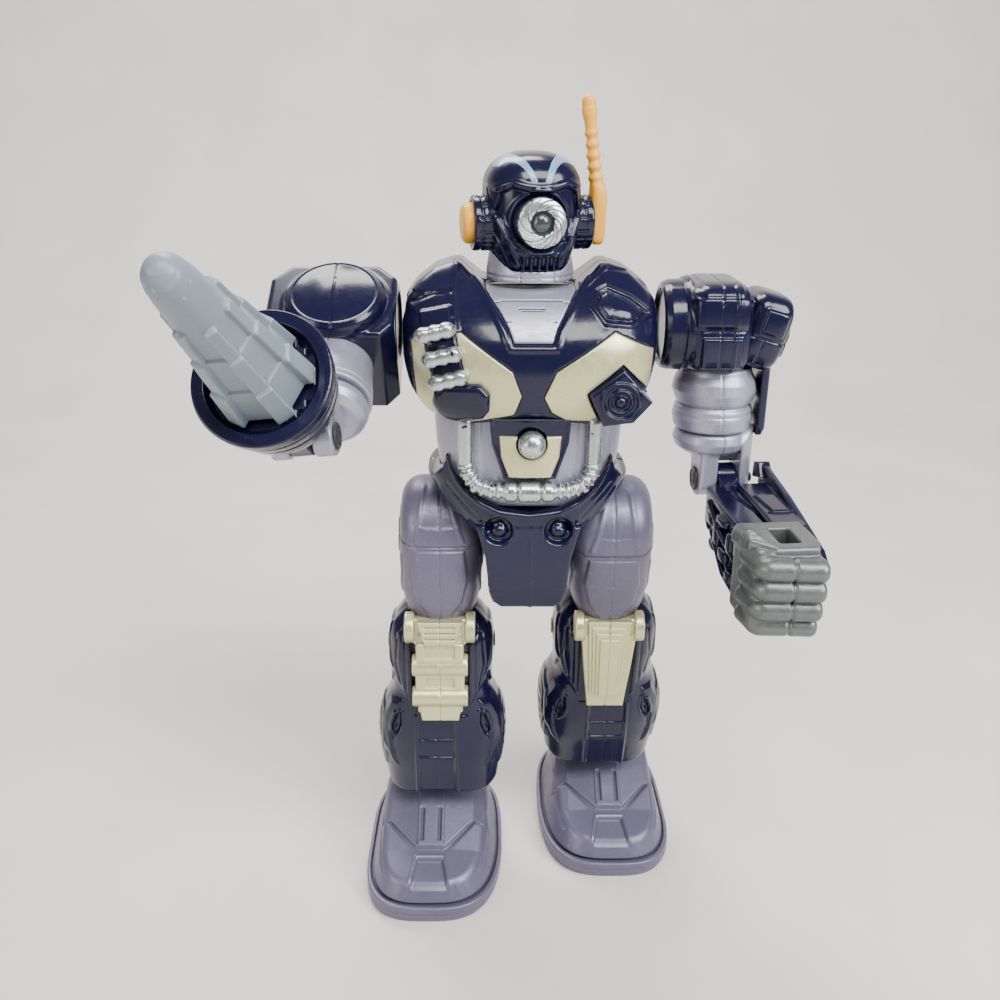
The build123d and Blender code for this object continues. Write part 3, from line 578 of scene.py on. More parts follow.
def chest_field(p):
    """Chest shell with its raised rims, strap, pouch, pentagon port and panel seats."""
    x, y, z = p
    bulk = chest_bulk(p)
    front = ramp(-y, 3.0)
    body = bulk
    v_rim = outline(x, z, V_RIM)
    body = body - front * 0.55 * bump(v_rim, 1.5)
    ridge = line(x, z, [(-22.3, 218.5), (-22.7, 206.0), (-21.6, 199.0), (-19.6, 187.0)])
    body = body - front * 0.9 * bump(ridge, 1.3)
    body = body + front * 0.5 * bump(line(x, z, [(-23.6, 211.6), (-29, 210.8), (-35.5, 207.9)]), 0.9)
    panel = ramp(-(x + 23.6), 1.0) * ramp(211.4 - z, 1.0) * ramp(z - 202, 3.0)
    body = body + front * 0.5 * panel
    gem = outline(x, z, GEM)
    body = body - front * (0.75 * bump(gem + 0.2, 1.0) + 1.9 * np.sqrt(np.clip(-(gem + 1.3) / 4.2, 0, 1)))
    body = body + front * 0.4 * bump(gem + 1.3, 0.5)
    body = body + front * 0.3 * bump(line(x, z, [(16.0, 213.0), (22.6, 217.6), (30, 216.4), (38, 209)]), 0.7)
    body = body + 0.3 * bump(y - 0.2, 0.5)
    body = both(body, -(rod(p, 2, 211.5, 230, (0.0, 0.0), 13.9, 0.4)))
    for flat, depth in ((outline(x, z, V_PLATE), 0.9), (outline(x, z, RIGHT_PLATE), 0.6),
                        (outline(x, z, LEFT_PLATE), 0.6)):
        body = carve(body, both(np.abs(bulk) - depth - 0.1, flat - 0.15, y), 0.25)
    for side in (-1, 1):
        body = carve(body, rod(p, 0, side * 36.5, side * 48, SHOULDER, 8.6, 0.3), 0.6)
    across, along = strap_line(p)
    strap = both(np.abs(across) - 4.7, np.abs(along - 0.6) - 11.5, -bulk - 3.0)
    body = union(body, trim(strap, bulk - 1.7, 0.8))
    pouch = outline(x, z, [(-25.6, 185.2), (-27.2, 183.6), (-27.8, 180.2), (-26.6, 177.4), (-22.8, 176.2),
                           (-15.2, 177.6), (-13.8, 179.6), (-13.6, 183.6), (-15.6, 185.6)]) - 1.6
    body = melt(body, trim(both(pouch, -bulk - 3.0), bulk - 3.1, 2.4), 0.5)
    port = plate(outline(x, z, PORT), y, -31.3, -24, 0.5)
    port = union(port, both(outline(x, z, PORT) - 0.2, -bulk - 2.0, bulk - 0.9, y))
    port = union(port, rod(p, 1, -32.4, -29, PORT_CENTRE, 5.9, 0.5))
    port = carve(port, rod(p, 1, -36, -31.5, PORT_CENTRE, 4.9, 0.3), 0.4)
    port = union(port, rod(p, 1, -32.2, -29, PORT_CENTRE, 3.7, 0.5))
    port = carve(port, rod(p, 1, -36, -31.4, PORT_CENTRE, 2.9, 0.2), 0.4)
    port = union(port, ball(p, (26.0, -31.0, 182.5), 1.9))
    return union(body, port)


def chest_back_details(p, body):
    """Battery bay, screw wells, ribs and the power switch's slot in the back of the chest."""
    x, y, z = p
    bay = box(p, (-27.1, 17, 175.5), (27.1, 40, 207.5), 1.0)
    body = carve(body, bay, 0.4)
    for spot in CHEST_SCREWS:
        body = carve(body, rod(p, 1, 17.2, 40, spot, 2.9, 0.2), 0.5)
    body = carve(body, box(p, (-34.7, 12, 184.0), (-29.5, 40, 196.0), 0.4), 0.4)
    rim = hypot(np.maximum(np.abs(x) - 26.6, 0), np.maximum(np.abs(z - 191.5) - 15.6, 0))
    return body - ramp(y - 8, 4) * 0.7 * bump(rim - 2.2, 1.2)


def whole_chest(p):
    """The chest's front and back together."""
    return chest_back_details(p, chest_field(p))


def door_field(p):
    """Ribbed battery door that follows the back."""
    x, y, z = p
    flat = outline(x, z, mirrored([(26.6, 176.0), (26.6, 207.0)]))
    door = trim(column(p, CHEST, 3.0) + 0.4, flat, 0.7)
    door = both(door, 17.2 - y)
    for rib in (181.0, 184.0, 187.0, 190.0):
        inside = ramp(19.0 - np.abs(x), 1.5)
        door = door + 0.6 * inside * bump(z - rib, 0.9)
    arrow = line(x, z, [(-4.0, 196.5), (0.0, 199.0), (4.0, 196.5)])
    door = door - 0.5 * bump(arrow, 0.9)
    return carve(door, rod(p, 1, 23.6, 40, DOOR_SCREW, 2.9, 0.2), 0.4)


def inlay(points, lift, depth):
    """A painted plate let into the front of the chest."""
    def field(p):
        bulk = chest_bulk(p)
        skin = both(bulk - lift, -bulk - depth)
        return trim(both(skin, p[1] + 4), outline(p[0], p[2], points), 0.45)
    return field


def right_plate_field(p):
    """Right breast plate, open under the strap."""
    across, along = strap_line(p)
    plate_field = inlay(RIGHT_PLATE, 0.35, 0.7)(p)
    return both(plate_field, -both(np.abs(across) - 4.9, -along - 12))


def left_plate_field(p):
    """Left breast plate, cut round the port."""
    return both(inlay(LEFT_PLATE, 0.35, 0.7)(p), -(outline(p[0], p[2], PORT) - 0.4))


def bands_field(p):
    """Three bands of three lobes across the strap."""
    found = []
    across_x, across_z = math.cos(STRAP_SLOPE), math.sin(STRAP_SLOPE)
    for cx, cz in BAND_CENTRES:
        lobes = []
        for offset in (-3.3, 0.0, 3.3):
            lobe = (cx + offset * across_x, -30.8 if cz < 200 else -29.6, cz + offset * across_z)
            lobes.append(egg(p, lobe, (2.15, 2.5, 2.3), 2.6))
        band = melt(melt(lobes[0], lobes[1], 0.8), lobes[2], 0.8)
        ends = [(cx + reach * across_x, BAND_Y, cz + reach * across_z) for reach in (-4.6, 4.6)]
        core = limb(p, *ends, 1.7)
        found.append(melt(band, core, 0.6))
    return union(*found)


# ---- torso pieces ----------------------------------------------------------
make("chest", whole_chest, (-42, -35, 171), (42, 27, 221), "navy_plastic", "torso",
     ["chest_front_shell", "chest_back_shell", "shoulder_pins"], 0.5)
make("battery_door", door_field, (-28, 15, 174), (28, 26, 209), "navy_plastic", "torso",
     ["battery_door"], 0.45)
make("collar_plate", inlay(V_PLATE, -0.5, 1.2), (-16, -32, 194), (16, -2, 216), "lilac_silver", "torso",
     ["collar_plate"], 0.4)
make("chest_plate_right", right_plate_field, (-38, -33, 173), (-1, -4, 203), "gold_paint", "torso",
     ["chest_plate_right"], 0.35)
make("chest_plate_left", left_plate_field, (2, -33, 173), (39, -4, 203), "gold_paint", "torso",
     ["chest_plate_left"], 0.35)
make("strap_bands", bands_field, (-36, -35, 184), (-18, -26, 207), "silver_paint", "torso",
     ["strap_bands"], 0.25)


# ---- belly, hose and pelvis --------------------------------------------------
U_LINE = ([0, 9.5, 15.5, 20.5, 23.2, 24.6, 25.2, 40],
          [145.6, 146.8, 149.6, 153.6, 157.2, 160.5, 163.0, 163.4])


def belly_button_hole(p):
    """The button's hole, through plate, surround and sleeve."""
    return rod(p, 1, -40, -12, BUTTON, 4.7, 0.2)


def surround_field(p):
    """The navy block behind the belly plate, moulded on the chest front."""
    x, y, z = p
    body = outline(x, z, mirrored([(12.2, 176.0), (11.6, 168.0), (7.9, 156.8)]))
    block = plate(body, y, -26.6, -20, 0.6)
    block = block - 0.5 * bump(body + 0.5, 0.7)
    return carve(block, belly_button_hole(p), 0.3)


def belly_plate_field(p):
    """Faceted plate with a hole for the button."""
    x, y, z = p
    flat = outline(x, z, mirrored([(6.4, 157.8), (8.8, 164.0), (9.4, 170.6)]))
    facet = np.maximum(np.abs(x) - 4.6, 0) * 0.28
    block = both(trim(flat, -28.5 + facet - y, 0.6), y + 26.2)
    block = block + groove(np.abs(x) - 4.6, 0.35, 0.15)
    return carve(block, belly_button_hole(p), 0.5)


def belly_button_field(p):
    """Ball button on its stem."""
    knob = egg(p, (BUTTON[0], -28.4, BUTTON[1]), (4.2, 3.9, 4.2), 2.0)
    return union(knob, rod(p, 1, -28, -19, BUTTON, 3.0, 0.4))


def abdomen_field(p):
    """Waist sleeve, with the speaker's holes behind."""
    x, y, z = p
    ax = np.abs(x)
    body = column(p, ABDOMEN, 3.2)
    front = ramp(-y - 4, 6)
    body = body + front * 0.5 * ramp(15.4 - ax, 1.2) * ramp(z - 149, 3)
    body = body - front * 0.45 * bump(ax - 24.6, 1.6)
    body = body + 0.3 * bump(y - 0.2, 0.5)
    body = body + ramp(y - 8, 4) * 0.4 * bump(hypot(x, z - 160) - 11.5, 0.8)
    for turn_number in range(6):
        angle = math.radians(60 * turn_number)
        hole = rod(p, 1, 12, 30, (7 * math.cos(angle), 160 + 7 * math.sin(angle)), 1.4, 0.1)
        body = carve(body, hole, 0.3)
    body = carve(body, rod(p, 1, 12, 30, (0.0, 160.0), 1.4, 0.1), 0.3)
    body = carve(body, belly_button_hole(p), 0.3)
    return cap_ends(body, z, 146.6, 174.5, 0.6)


def hose_field(p):
    """A hose that hangs in a U: smooth at the top, ribbed round the bend, three barrels in the middle."""
    x, y, z = p
    ax = np.abs(x)
    q = np.stack([ax, y, z])
    path = [(19.5, -23.9, 174.0), (19.5, -24.4, 161.0), (18.6, -25.0, 157.4), (16.2, -25.6, 154.6),
            (12.8, -26.2, 153.1), (7.6, -26.6, 152.8)]
    best = np.full(x.shape, 1e9)
    travel = np.zeros(x.shape)
    length = 0.0
    for a, b in zip(path, path[1:]):
        a, b = np.array(a), np.array(b)
        d = b - a
        t = np.clip(sum((q[i] - a[i]) * d[i] for i in range(3)) / (d @ d), 0, 1)
        distance = hypot(*[q[i] - a[i] - t * d[i] for i in range(3)])
        closer = distance < best
        best = np.where(closer, distance, best)
        travel = np.where(closer, length + t * math.sqrt(d @ d), travel)
        length += math.sqrt(d @ d)
    ribs = ramp(travel - 12.4, 0.6) * (0.5 + 0.5 * np.cos((travel - 13.6) * 2 * math.pi / 2.35))
    hose = (best - (2.35 - 0.4 * ramp(travel - 12.4, 0.6) + 0.75 * ribs)) * 0.75
    ring = lathe(hypot(y + 26.6, z - 152.8), ax,
                 [(0, 3.3), (2.6, 3.35), (3.2, 3.0), (3.65, 2.3), (4.1, 2.9), (4.8, 3.25), (6.6, 3.15),
                  (7.3, 2.8), (7.7, 1.2), (7.9, -6), (12, -6)]) * 0.7
    return union(hose, ring)


def pelvis_field(p):
    """Belt, crotch box and front flap, with the hips' sockets."""
    x, y, z = p
    ax = np.abs(x)
    front = ramp(-y - 6, 6)
    body = column(p, BELT, 2.9)
    rim = np.interp(ax, *U_LINE)
    rim = np.where(y < -6, rim, 154.5 + np.clip(-y / 6, 0, 1) * (rim - 154.5))
    outer = np.interp(ax, [0, 24.5, 27, 30, 33], [170, 165, 158, 154.6, 154])
    top = np.minimum(rim, np.maximum(outer, 153.5))
    body = trim(body, (z - top) * 0.6, 1.0)
    body = body - front * 0.5 * bump(z - rim + 1.2, 1.3)
    body = body + front * 0.35 * bump(line(ax, z, [(25.6, 153.4), (16.4, 143.6)]), 0.8)
    body = body - front * 0.35 * bump(line(ax, z, [(27.4, 151.0), (19.6, 141.4)]), 1.2)
    body = trim(body, 126.0 - z, 1.0)
    crotch = box(p, (-11.4, -19.8, 113.0), (11.4, 18.8, 146), 1.6)
    flap_flat = outline(x, z, mirrored([(8.4, 112.4), (11.2, 114.6), (12.3, 118.0), (12.9, 124.6),
                                        (13.5, 130.0), (16.5, 141.0)]))
    flap_front = -26.6 - 0.5 * bump(z - 128, 12) + np.maximum(118.5 - z, 0) * 0.22
    flap = both(trim(flap_flat, flap_front - y, 1.3), y + 17)
    flap = flap - front * (0.3 * bump(x - 0.8, 0.5) + 0.2 * bump(z - 119.6 - 0.006 * x * x, 0.6))
    body = melt(union(body, crotch), flap, 0.8)
    for side in (-1, 1):
        around = hypot(x - side * 9.3, z - 139.6)
        body = body + front * (1.9 * ramp(4.6 - around, 0.9)
                               - 1.6 * np.sqrt(np.clip(1 - (around / 2.6) ** 2, 0, 1)))
        body = body - front * 0.3 * bump(around - 5.1, 0.7)
        body = carve(body, rod(p, 0, side * 13.5, side * 60, (0.0, HIP_Z), 18.3, 0.3), 0.6)
    body = body + 0.3 * bump(y - 0.2, 0.5)
    body = carve(body, rod(p, 1, 17.5, 40, PELVIS_SCREW, 2.9, 0.2), 0.4)
    return both(body, -(cap_ends(column(p, ABDOMEN, 3.2) - 0.15, z, 146.5, 190, 0.3)))


def screws_field(p):
    """Cross-head screws."""
    found = []
    heads = [(*spot, 18.6) for spot in CHEST_SCREWS] + [(*DOOR_SCREW, 25.0), (*PELVIS_SCREW, 18.8)]
    for sx, sz, head in heads:
        screw = rod(p, 1, head - 3.0, head, (sx, sz), 2.6, 0.5)
        for slot_x, slot_z in ((1.7, 0.32), (0.32, 1.7)):
            slot = box(p, (sx - slot_x, head - 0.9, sz - slot_z), (sx + slot_x, head + 2, sz + slot_z), 0.1)
            screw = carve(screw, slot, 0.15)
        found.append(screw)
    return union(*found)


def switch_field(p):
    """Slide switch's knob."""
    knob = box(p, (-34.2, 18.0, 184.6), (-30.0, 19.8, 192.0), 0.3)
    grip = box(p, (-33.6, 19.0, 186.8), (-30.6, 23.2, 190.2), 0.7)
    return melt(knob, grip + groove(p[2] - 187.7, 0.4, 0.3) + groove(p[2] - 189.3, 0.4, 0.3), 0.3)


make("belly_surround", surround_field, (-14, -28, 155), (14, -19, 177), "navy_plastic", "torso", cell=0.4)
make("belly_plate", belly_plate_field, (-10, -29, 157), (10, -25.5, 172), "gold_paint", "torso",
     ["belly_plate"], 0.25)
make("belly_button", belly_button_field, (-4, -33, 163), (5, -18.5, 173), "silver_paint", "belly_button",
     ["belly_button"], 0.25)
make("abdomen", abdomen_field, (-31, -26, 146), (31, 21, 175), "lilac_silver", "torso",
     ["abdomen_shell"], 0.5)
make("abdomen_hose", hose_field, (-23, -30.5, 149), (23, -21, 175), "silver_paint", "torso",
     ["abdomen_hose"], 0.28)
make("pelvis", pelvis_field, (-35, -30, 110), (35, 25, 167), "navy_plastic", "torso",
     ["pelvis_front_shell", "pelvis_back_shell"], 0.5)
make("shell_screws", screws_field, (-4, 14, 116), (36, 26, 208), "steel", "torso", ["shell_screws"], 0.3)
make("power_switch", switch_field, (-35, 17, 184), (-29, 24, 193), "black_plastic", "power_switch",
     ["power_switch"], 0.25)


# ---- head ----------------------------------------------------------------------
EAR_Z = 230.0
EYE_Z = 231.3
EAR = (0.0, EAR_Z)


def skull(p):
    """The head's plain form: a dome over a face that narrows to the chin."""
    x, y, z = p
    dome = egg(np.stack([x, y, np.maximum(z, 237.5)]), (0.0, 0.1, 237.5), (14.8, 15.5, 13.2), 2.5)
    return trim(column(p, HEAD, 2.5), dome, 0.8)


def head_field(p):
    """Helmet with visor recess, eye socket, mouth grille and ear pods."""
    x, y, z = p
    ax = np.abs(x)
    front = ramp(-y - 3, 3)
    body = skull(p)
    body = trim(body, 217.4 - z, 1.0)
    visor = outline(ax, z, [(-20, 239.8), (3.0, 240.2), (8.2, 241.4), (11.6, 239.6), (13.0, 234.0),
                            (10.6, 231.8), (8.2, 225.6), (-20, 222.9)])
    body = body + front * 1.25 * ramp(-visor, 0.9)
    brow = line(ax, z, [(0, 240.9), (4.0, 241.2), (8.6, 242.4), (12.4, 241.0)])
    body = body - front * 0.55 * bump(brow, 1.5)
    body = body - front * 0.3 * bump(x, 2.4) * bump(z - 237, 6)
    cheek = line(ax, z, [(12.6, 232.0), (9.6, 226.0), (6.4, 219.0)])
    body = body - front * (0.8 * bump(cheek, 1.3) - 0.35 * bump(cheek - 1.5, 0.7))
    cheek_in = line(ax, z, [(9.2, 226.8), (6.0, 221.9)])
    body = body - front * 0.5 * bump(cheek_in, 0.9)
    around = hypot(x, z - EYE_Z)
    body = body + front * (0.9 * ramp(8.2 - around, 0.7) - 0.6 * bump(around - 8.9, 1.0))
    mouth = both(np.abs(x) - 5.9, np.abs(z - 219.6) - 2.1)
    body = body + front * 0.9 * ramp(-mouth, 0.5)
    for bar in (-4.8, -2.4, 0.0, 2.4, 4.8):
        body = body - front * 1.0 * bump(x - bar, 1.0) * ramp(-mouth + 0.4, 0.6)
    body = body - front * 0.5 * bump(line(ax, z, [(0, 222.6), (5.6, 222.4)]), 0.8)
    pods = []
    for side in (-1, 1):
        pod = rod(p, 0, side * 10, side * 18.2, EAR, 8.1, 0.7)
        pod = carve(pod, rod(p, 0, side * 17.6, side * 30, EAR, 6.6, 0.2), 0.4)
        ring = hypot(y, z - EAR_Z)
        pod = pod + 0.35 * bump(np.abs(x) - 15.6, 0.6)
        slots = bump(np.mod(np.arctan2(z - EAR_Z, y), math.pi / 6) - math.pi / 12, 0.09)
        pod = pod + 0.4 * slots * ramp(ring - 7.0, 0.6) * ramp(16.8 - np.abs(x), 0.6)
        pods.append(pod)
    body = melt(body, union(*pods), 0.9)
    body = body + 0.28 * bump(y - 0.2, 0.45)
    temple = outline(y, z, [(-7, 226), (-9, 233), (-4, 241), (4, 241), (9, 233), (7, 224)])
    body = body + ramp(ax - 8, 3) * 0.3 * bump(temple, 0.6)
    return carve(body, rod(p, 2, 205, 224, (0.0, 0.0), 8.0, 0.3), 0.4)


def stripes_field(p):
    """Painted stripes that sweep from the temples over the brow."""
    x, y, z = p
    arch = line(np.abs(x), z, [(2.0, 242.6), (2.8, 244.8), (4.2, 246.9), (5.6, 248.1), (7.2, 248.8),
                               (9.2, 248.7), (11.6, 247.6)])
    band = both(arch - 0.8 - 0.05 * np.abs(x), y + 0.5)
    return trim(both(skull(p) - 0.12, -skull(p) - 0.5), band, 0.15)


def eye_ring_field(p):
    """A ring of swirling blades round the eye."""
    x, y, z = p
    around = hypot(x, z - EYE_Z)
    angle = np.arctan2(z - EYE_Z, x)
    swirl = np.mod(angle + (around - 3.4) * 0.30, 2 * math.pi / 7) - math.pi / 7
    face = -17.7 + 0.056 * (around - 5.3) ** 2 + 0.12 * np.maximum(around - 5.3, 0)
    face = face + 0.32 * swirl / (math.pi / 7)
    ring = trim(both(around - 7.2, 3.5 - around), face - y, 0.45)
    ring = ring + 0.7 * bump(swirl * around, 0.42)
    return both(ring, y + 14.6)


def lens_field(p):
    """Domed lens in its rim."""
    around = hypot(p[0], p[2] - EYE_Z)
    dome = egg(p, (0.0, -15.6, EYE_Z), (3.0, 2.4, 3.0), 2.0)
    rim = rod(p, 1, -16.3, -14.8, (0.0, EYE_Z), 3.5, 0.3)
    rim = rim + 0.4 * bump(around - 2.9, 0.35)
    return union(dome, rim)


def collar_field(p):
    """Neck collar, cut away under the chin."""
    x, y, z = p
    around = hypot(x, y * 0.99)
    body = lathe(around, z, [(212.6, 12.6), (213.4, 13.4), (216, 13.4), (219, 13.0), (222, 12.5),
                             (223.6, 12.0), (224.2, 11.0)]) * 0.95
    body = cap_ends(body, z, 213.6, 223.6, 0.5)
    for side in (-5.3, 5.3):
        body = body + ramp(-y, 2) * groove(x - side, 0.5, 0.4)
    body = body + groove(z - 215.1, 0.4, 0.2)
    chin = trim(skull(p) - 0.25, 217.0 - z, 0.5)
    return both(body, -chin, 6.4 - around)


def ear_cap_field(p):
    """Round cap on the right ear."""
    cap = lathe(hypot(p[1], p[2] - EAR_Z), -p[0],
                [(17.3, 5.9), (18.3, 6.0), (19.6, 6.0), (20.6, 5.5), (21.3, 4.4), (21.6, 2.6),
                 (21.8, -4), (30, -4)]) * 0.7
    return both(cap, p[0] + 17.4)


def antenna_field(p):
    """Antenna: paddle, ribbed stem and plain tip."""
    x, y, z = p
    paddle = limb(p, (20.7, 0.0, 226.4), (20.7, 0.0, 238.5), 2.9, 2.6)
    paddle = both(egg(p, (20.7, 0.0, 232.4), (2.4, 3.3, 9.2), 4.0), paddle - 0.7)
    tilt = math.radians(8)
    dx, dz = x - 20.2, z - 240.0
    along = dx * -math.sin(tilt) + dz * math.cos(tilt)
    off = hypot(dx * math.cos(tilt) + dz * math.sin(tilt), y)
    radius = np.interp(along, [-4, 0, 17, 22, 24, 30], [2.6, 2.0, 1.75, 2.0, 2.1, 2.1])
    ribs = ramp(along - 1.0, 0.8) * ramp(17.4 - along,
                                         0.8) * (0.5 + 0.5 * np.cos((along - 2.9) * 2 * math.pi / 3.2))
    stem = both((off - radius - 0.55 * ribs + 0.2 * ramp(along - 1, 1) * ramp(17.4 - along, 1)) * 0.85,
                -along - 5.0, along - 22.6)
    tip = limb(p, (17.15, 0.0, 261.0), (16.9, 0.0, 264.2), 2.0, 2.05)
    axle = rod(p, 0, 14.6, 19.5, EAR, 2.0, 0.2)
    return union(melt(melt(paddle, stem, 1.2), tip, 0.8), axle)


make("head_shell", head_field, (-19, -18, 216), (19, 17, 252), "navy_plastic", "head",
     ["head_front_shell", "head_back_shell"], 0.32, HEAD_PLACE)
make("head_stripes", stripes_field, (-13, -16, 242), (13, -2, 252), "stripe_paint", "head",
     cell=0.2, place=HEAD_PLACE)
make("eye_ring", eye_ring_field, (-8, -18.6, 223), (8, -14.4, 239.5), "eye_silver", "head",
     ["eye_ring"], 0.16, HEAD_PLACE)
make("eye_lens", lens_field, (-4, -18.4, 227), (4, -14.5, 235.5), "dark_lens", "head",
     ["eye_lens"], 0.16, HEAD_PLACE)
make("neck_collar", collar_field, (-14, -14, 213), (14, 14, 225), "lilac_silver", "head",
     ["neck_collar"], 0.35, HEAD_PLACE)
make("ear_cap", ear_cap_field, (-22, -7, 223), (-17, 7, 237), "yellow_vinyl", "head",
     ["ear_cap"], 0.25, HEAD_PLACE)
make("antenna", antenna_field, (14, -4, 222), (24, 4, 267), "yellow_vinyl", "antenna",
     ["antenna"], 0.25, HEAD_PLACE)


# ---- left arm --------------------------------------------------------------------
def left_shoulder_field(p):
    """Shoulder shell with two sunk panels."""
    x, y, z = p
    neck = lathe(hypot(y, z - SHOULDER_Z), x, [(30, -9), (40.7, 12.0), (41.3, 13.4), (43.0, 14.2), (47, 14.4),
                                               (50, 14.0), (60, 12)])
    neck = both(neck, 40.8 - x, x - 56)
    main = egg(p, (57.6, 0.0, 199.6), (10.4, 16.4, 13.9), 4.6)
    front = ramp(-y - 8, 4)
    upper = both(np.abs(x - 57.6) - 8.6, np.abs(z - 205.6) - 4.8)
    lower = both(np.abs(x - 57.9) - 6.6, np.abs(z - 193.4) - 5.2)
    main = main - front * (0.7 * ramp(-upper, 1.2) + 0.9 * ramp(-lower, 1.0))
    main = main + front * 0.35 * bump(z - 200.2, 0.8)
    side_band = ramp(-y - 8, 3) * bump(np.abs(x - 61.6) - 0.2, 0.6)
    main = main - 0.4 * side_band
    main = main + 0.32 * bump(x - 57.2, 0.42)
    top = ramp(z - 209, 2)
    main = main - top * 0.5 * ramp(6.4 - np.abs(x - 57.8), 1.0)
    collar = lathe(hypot(y, z - SHOULDER_Z), x,
                   [(46, -9), (47.4, 15.0), (49.2, 15.6), (50.4, 14.6), (51, -9)])
    body = melt(melt(neck, main, 0.9), collar, 0.5)
    body = carve(body, rod(p, 0, 38, 41.9, SHOULDER, 11.4, 0.3), 0.5)
    return trim(body, 185.8 - z, 1.2)


def left_pod_field(p):
    """Outer shoulder pod and the panel that hangs from it."""
    x, y, z = p
    tilt = math.radians(-16)
    dx, dz = x - 72.4, z - 198.4
    q = np.stack([dx * math.cos(tilt) + dz * math.sin(tilt), y, -dx * math.sin(tilt) + dz * math.cos(tilt)])
    body = egg(q, (0.0, 0.0, 0.0), (7.4, 12.6, 12.0), 3.8)
    band = both(np.abs(y) - 8.4, np.abs(q[2] - 1.2) - 7.6)
    body = body - ramp(q[0] - 2, 2) * 0.8 * ramp(-band, 1.0)
    for level in (7.6, 5.4, 3.2):
        slot = bump(q[2] - level, 0.75) * ramp(6.6 - np.abs(y), 0.8)
        body = body + ramp(q[0] - 1, 2) * 0.8 * slot
    front = ramp(-y - 6, 3)
    body = body - front * 0.7 * ramp(-(both(np.abs(q[0] - 1.0) - 4.0, np.abs(q[2] - 3.8) - 4.0)), 0.9)
    body = body + front * 0.35 * bump(q[2] + 1.6, 0.7)
    body = body + front * 0.3 * bump(q[0] + 0.8, 0.45) * ramp(-q[2] - 2, 1)
    body = union(body, box(p, (65, -9.0, 189), (71, 9.0, 208), 1.5))
    flat = outline(y, z, mirrored([(5.6, 164.6), (7.8, 167.2), (7.8, 190)]))
    panel = plate(flat, x, 73.2, 75.3, 0.4)
    panel = panel - 0.35 * bump(flat + 0.9, 0.7) * ramp(x - 74.6, 0.4)
    return both(melt(body, panel, 0.8), x - 80.2)


RINGS = [(163.0, 11.0), (166.1, 11.4), (167.0, 12.3), (170.4, 12.9), (173.4, 12.3), (174.5, 11.3),
         (175.6, 12.3), (179.0, 13.5), (182.2, 12.9), (184.6, 11.6), (187.0, 11.0)]


def left_upper_arm_field(p):
    """Upper arm of stacked rings."""
    x, y, z = p
    dx = x - ARM_X
    around = hypot(dx, y)
    body = lathe(around, z, RINGS) * 0.9
    body = body + groove(z - 172.0, 0.5, 0.22) * ramp(-y + 6, 8)
    seam = np.where(z > 174.4, dx + 0.2, dx - 0.8)
    body = body + ramp(-y - 4, 2) * groove(seam, 0.42, 0.35) + ramp(y - 4, 2) * groove(dx, 0.42, 0.35)
    body = cap_ends(body, z, 166.2, 186.5, 0.5)
    return both(body, 4.05 - around - 30 * (z > 178))


def fork_field(radius):
    """Lowest ring of the arm with the two legs that hold the elbow."""
    def field(p):
        x, y, z = p
        dx = x - ARM_X
        around = hypot(dx, y)
        ring = lathe(around, z, [(157.5, radius - 4.6), (158.5, radius - 2.6), (160.2, radius - 0.5),
                                 (162.6, radius + 0.35), (165.0, radius - 0.3), (166.0, radius - 1.2),
                                 (168, radius - 1.6)]) * 0.8
        ring = cap_ends(ring, z, 158.4, 165.8, 0.4)
        ring = ring + ramp(-y - 4, 2) * groove(dx - 1.2, 0.42, 0.35)
        legs = []
        for low, high in ((-5.2, 0.6), (7.8, 13.2)):
            shape = limb(np.stack([y, z, np.zeros_like(z)]), (ELBOW_Y, ELBOW_Z, 0),
                         (ELBOW_Y + 0.6, 161.0, 0), 5.6, 6.4)
            leg = trim(shape, np.abs(dx - (low + high) / 2) - (high - low) / 2, 0.7)
            legs.append(trim(leg, hypot(dx - 2.0, y) - 11.8, 0.8))
        body = melt(ring, union(*legs), 0.8)
        body = both(body, -(rod(p, 0, ARM_X + 0.6, ARM_X + 7.8, (ELBOW_Y, ELBOW_Z + 1), 8.4, 0.3)))
        saddle = box(p, (ARM_X, ELBOW_Y + 0.6, 154.6), (ARM_X + 8.2, ELBOW_Y + 7.0, 160.0), 0.4)
        body = union(body, both(saddle, -(rod(p, 0, ARM_X - 2, ARM_X + 10, ELBOW, 5.6, 0.2))))
        disc = hypot(y - ELBOW_Y, z - ELBOW_Z)
        inner = ramp(-(dx + 4.4), 0.4)
        body = body + inner * 0.5 * bump(disc - 4.3, 0.5)
        return union(body, both(around - 4.0, np.abs(z - 171) - 6))
    return field


def elbow_pin_field(p):
    """Elbow pin with a cross-head disc."""
    disc = rod(p, 0, ARM_X - 6.0, ARM_X - 5.0, ELBOW, 3.9, 0.3)
    around = hypot(p[1] - ELBOW_Y, p[2] - ELBOW_Z)
    disc = disc + 0.35 * bump(around - 2.6, 0.6)
    head = rod(p, 0, ARM_X - 6.2, ARM_X - 5.0, ELBOW, 1.7, 0.25)
    for half_y, half_z in ((1.3, 0.25), (0.25, 1.3)):
        slot = box(p, (ARM_X - 7, ELBOW_Y - half_y, ELBOW_Z - half_z),
                   (ARM_X - 5.7, ELBOW_Y + half_y, ELBOW_Z + half_z), 0.08)
        head = carve(head, slot, 0.1)
    return union(disc, head, rod(p, 0, ARM_X - 5.2, ARM_X + 13.4, ELBOW, 1.6, 0.3))


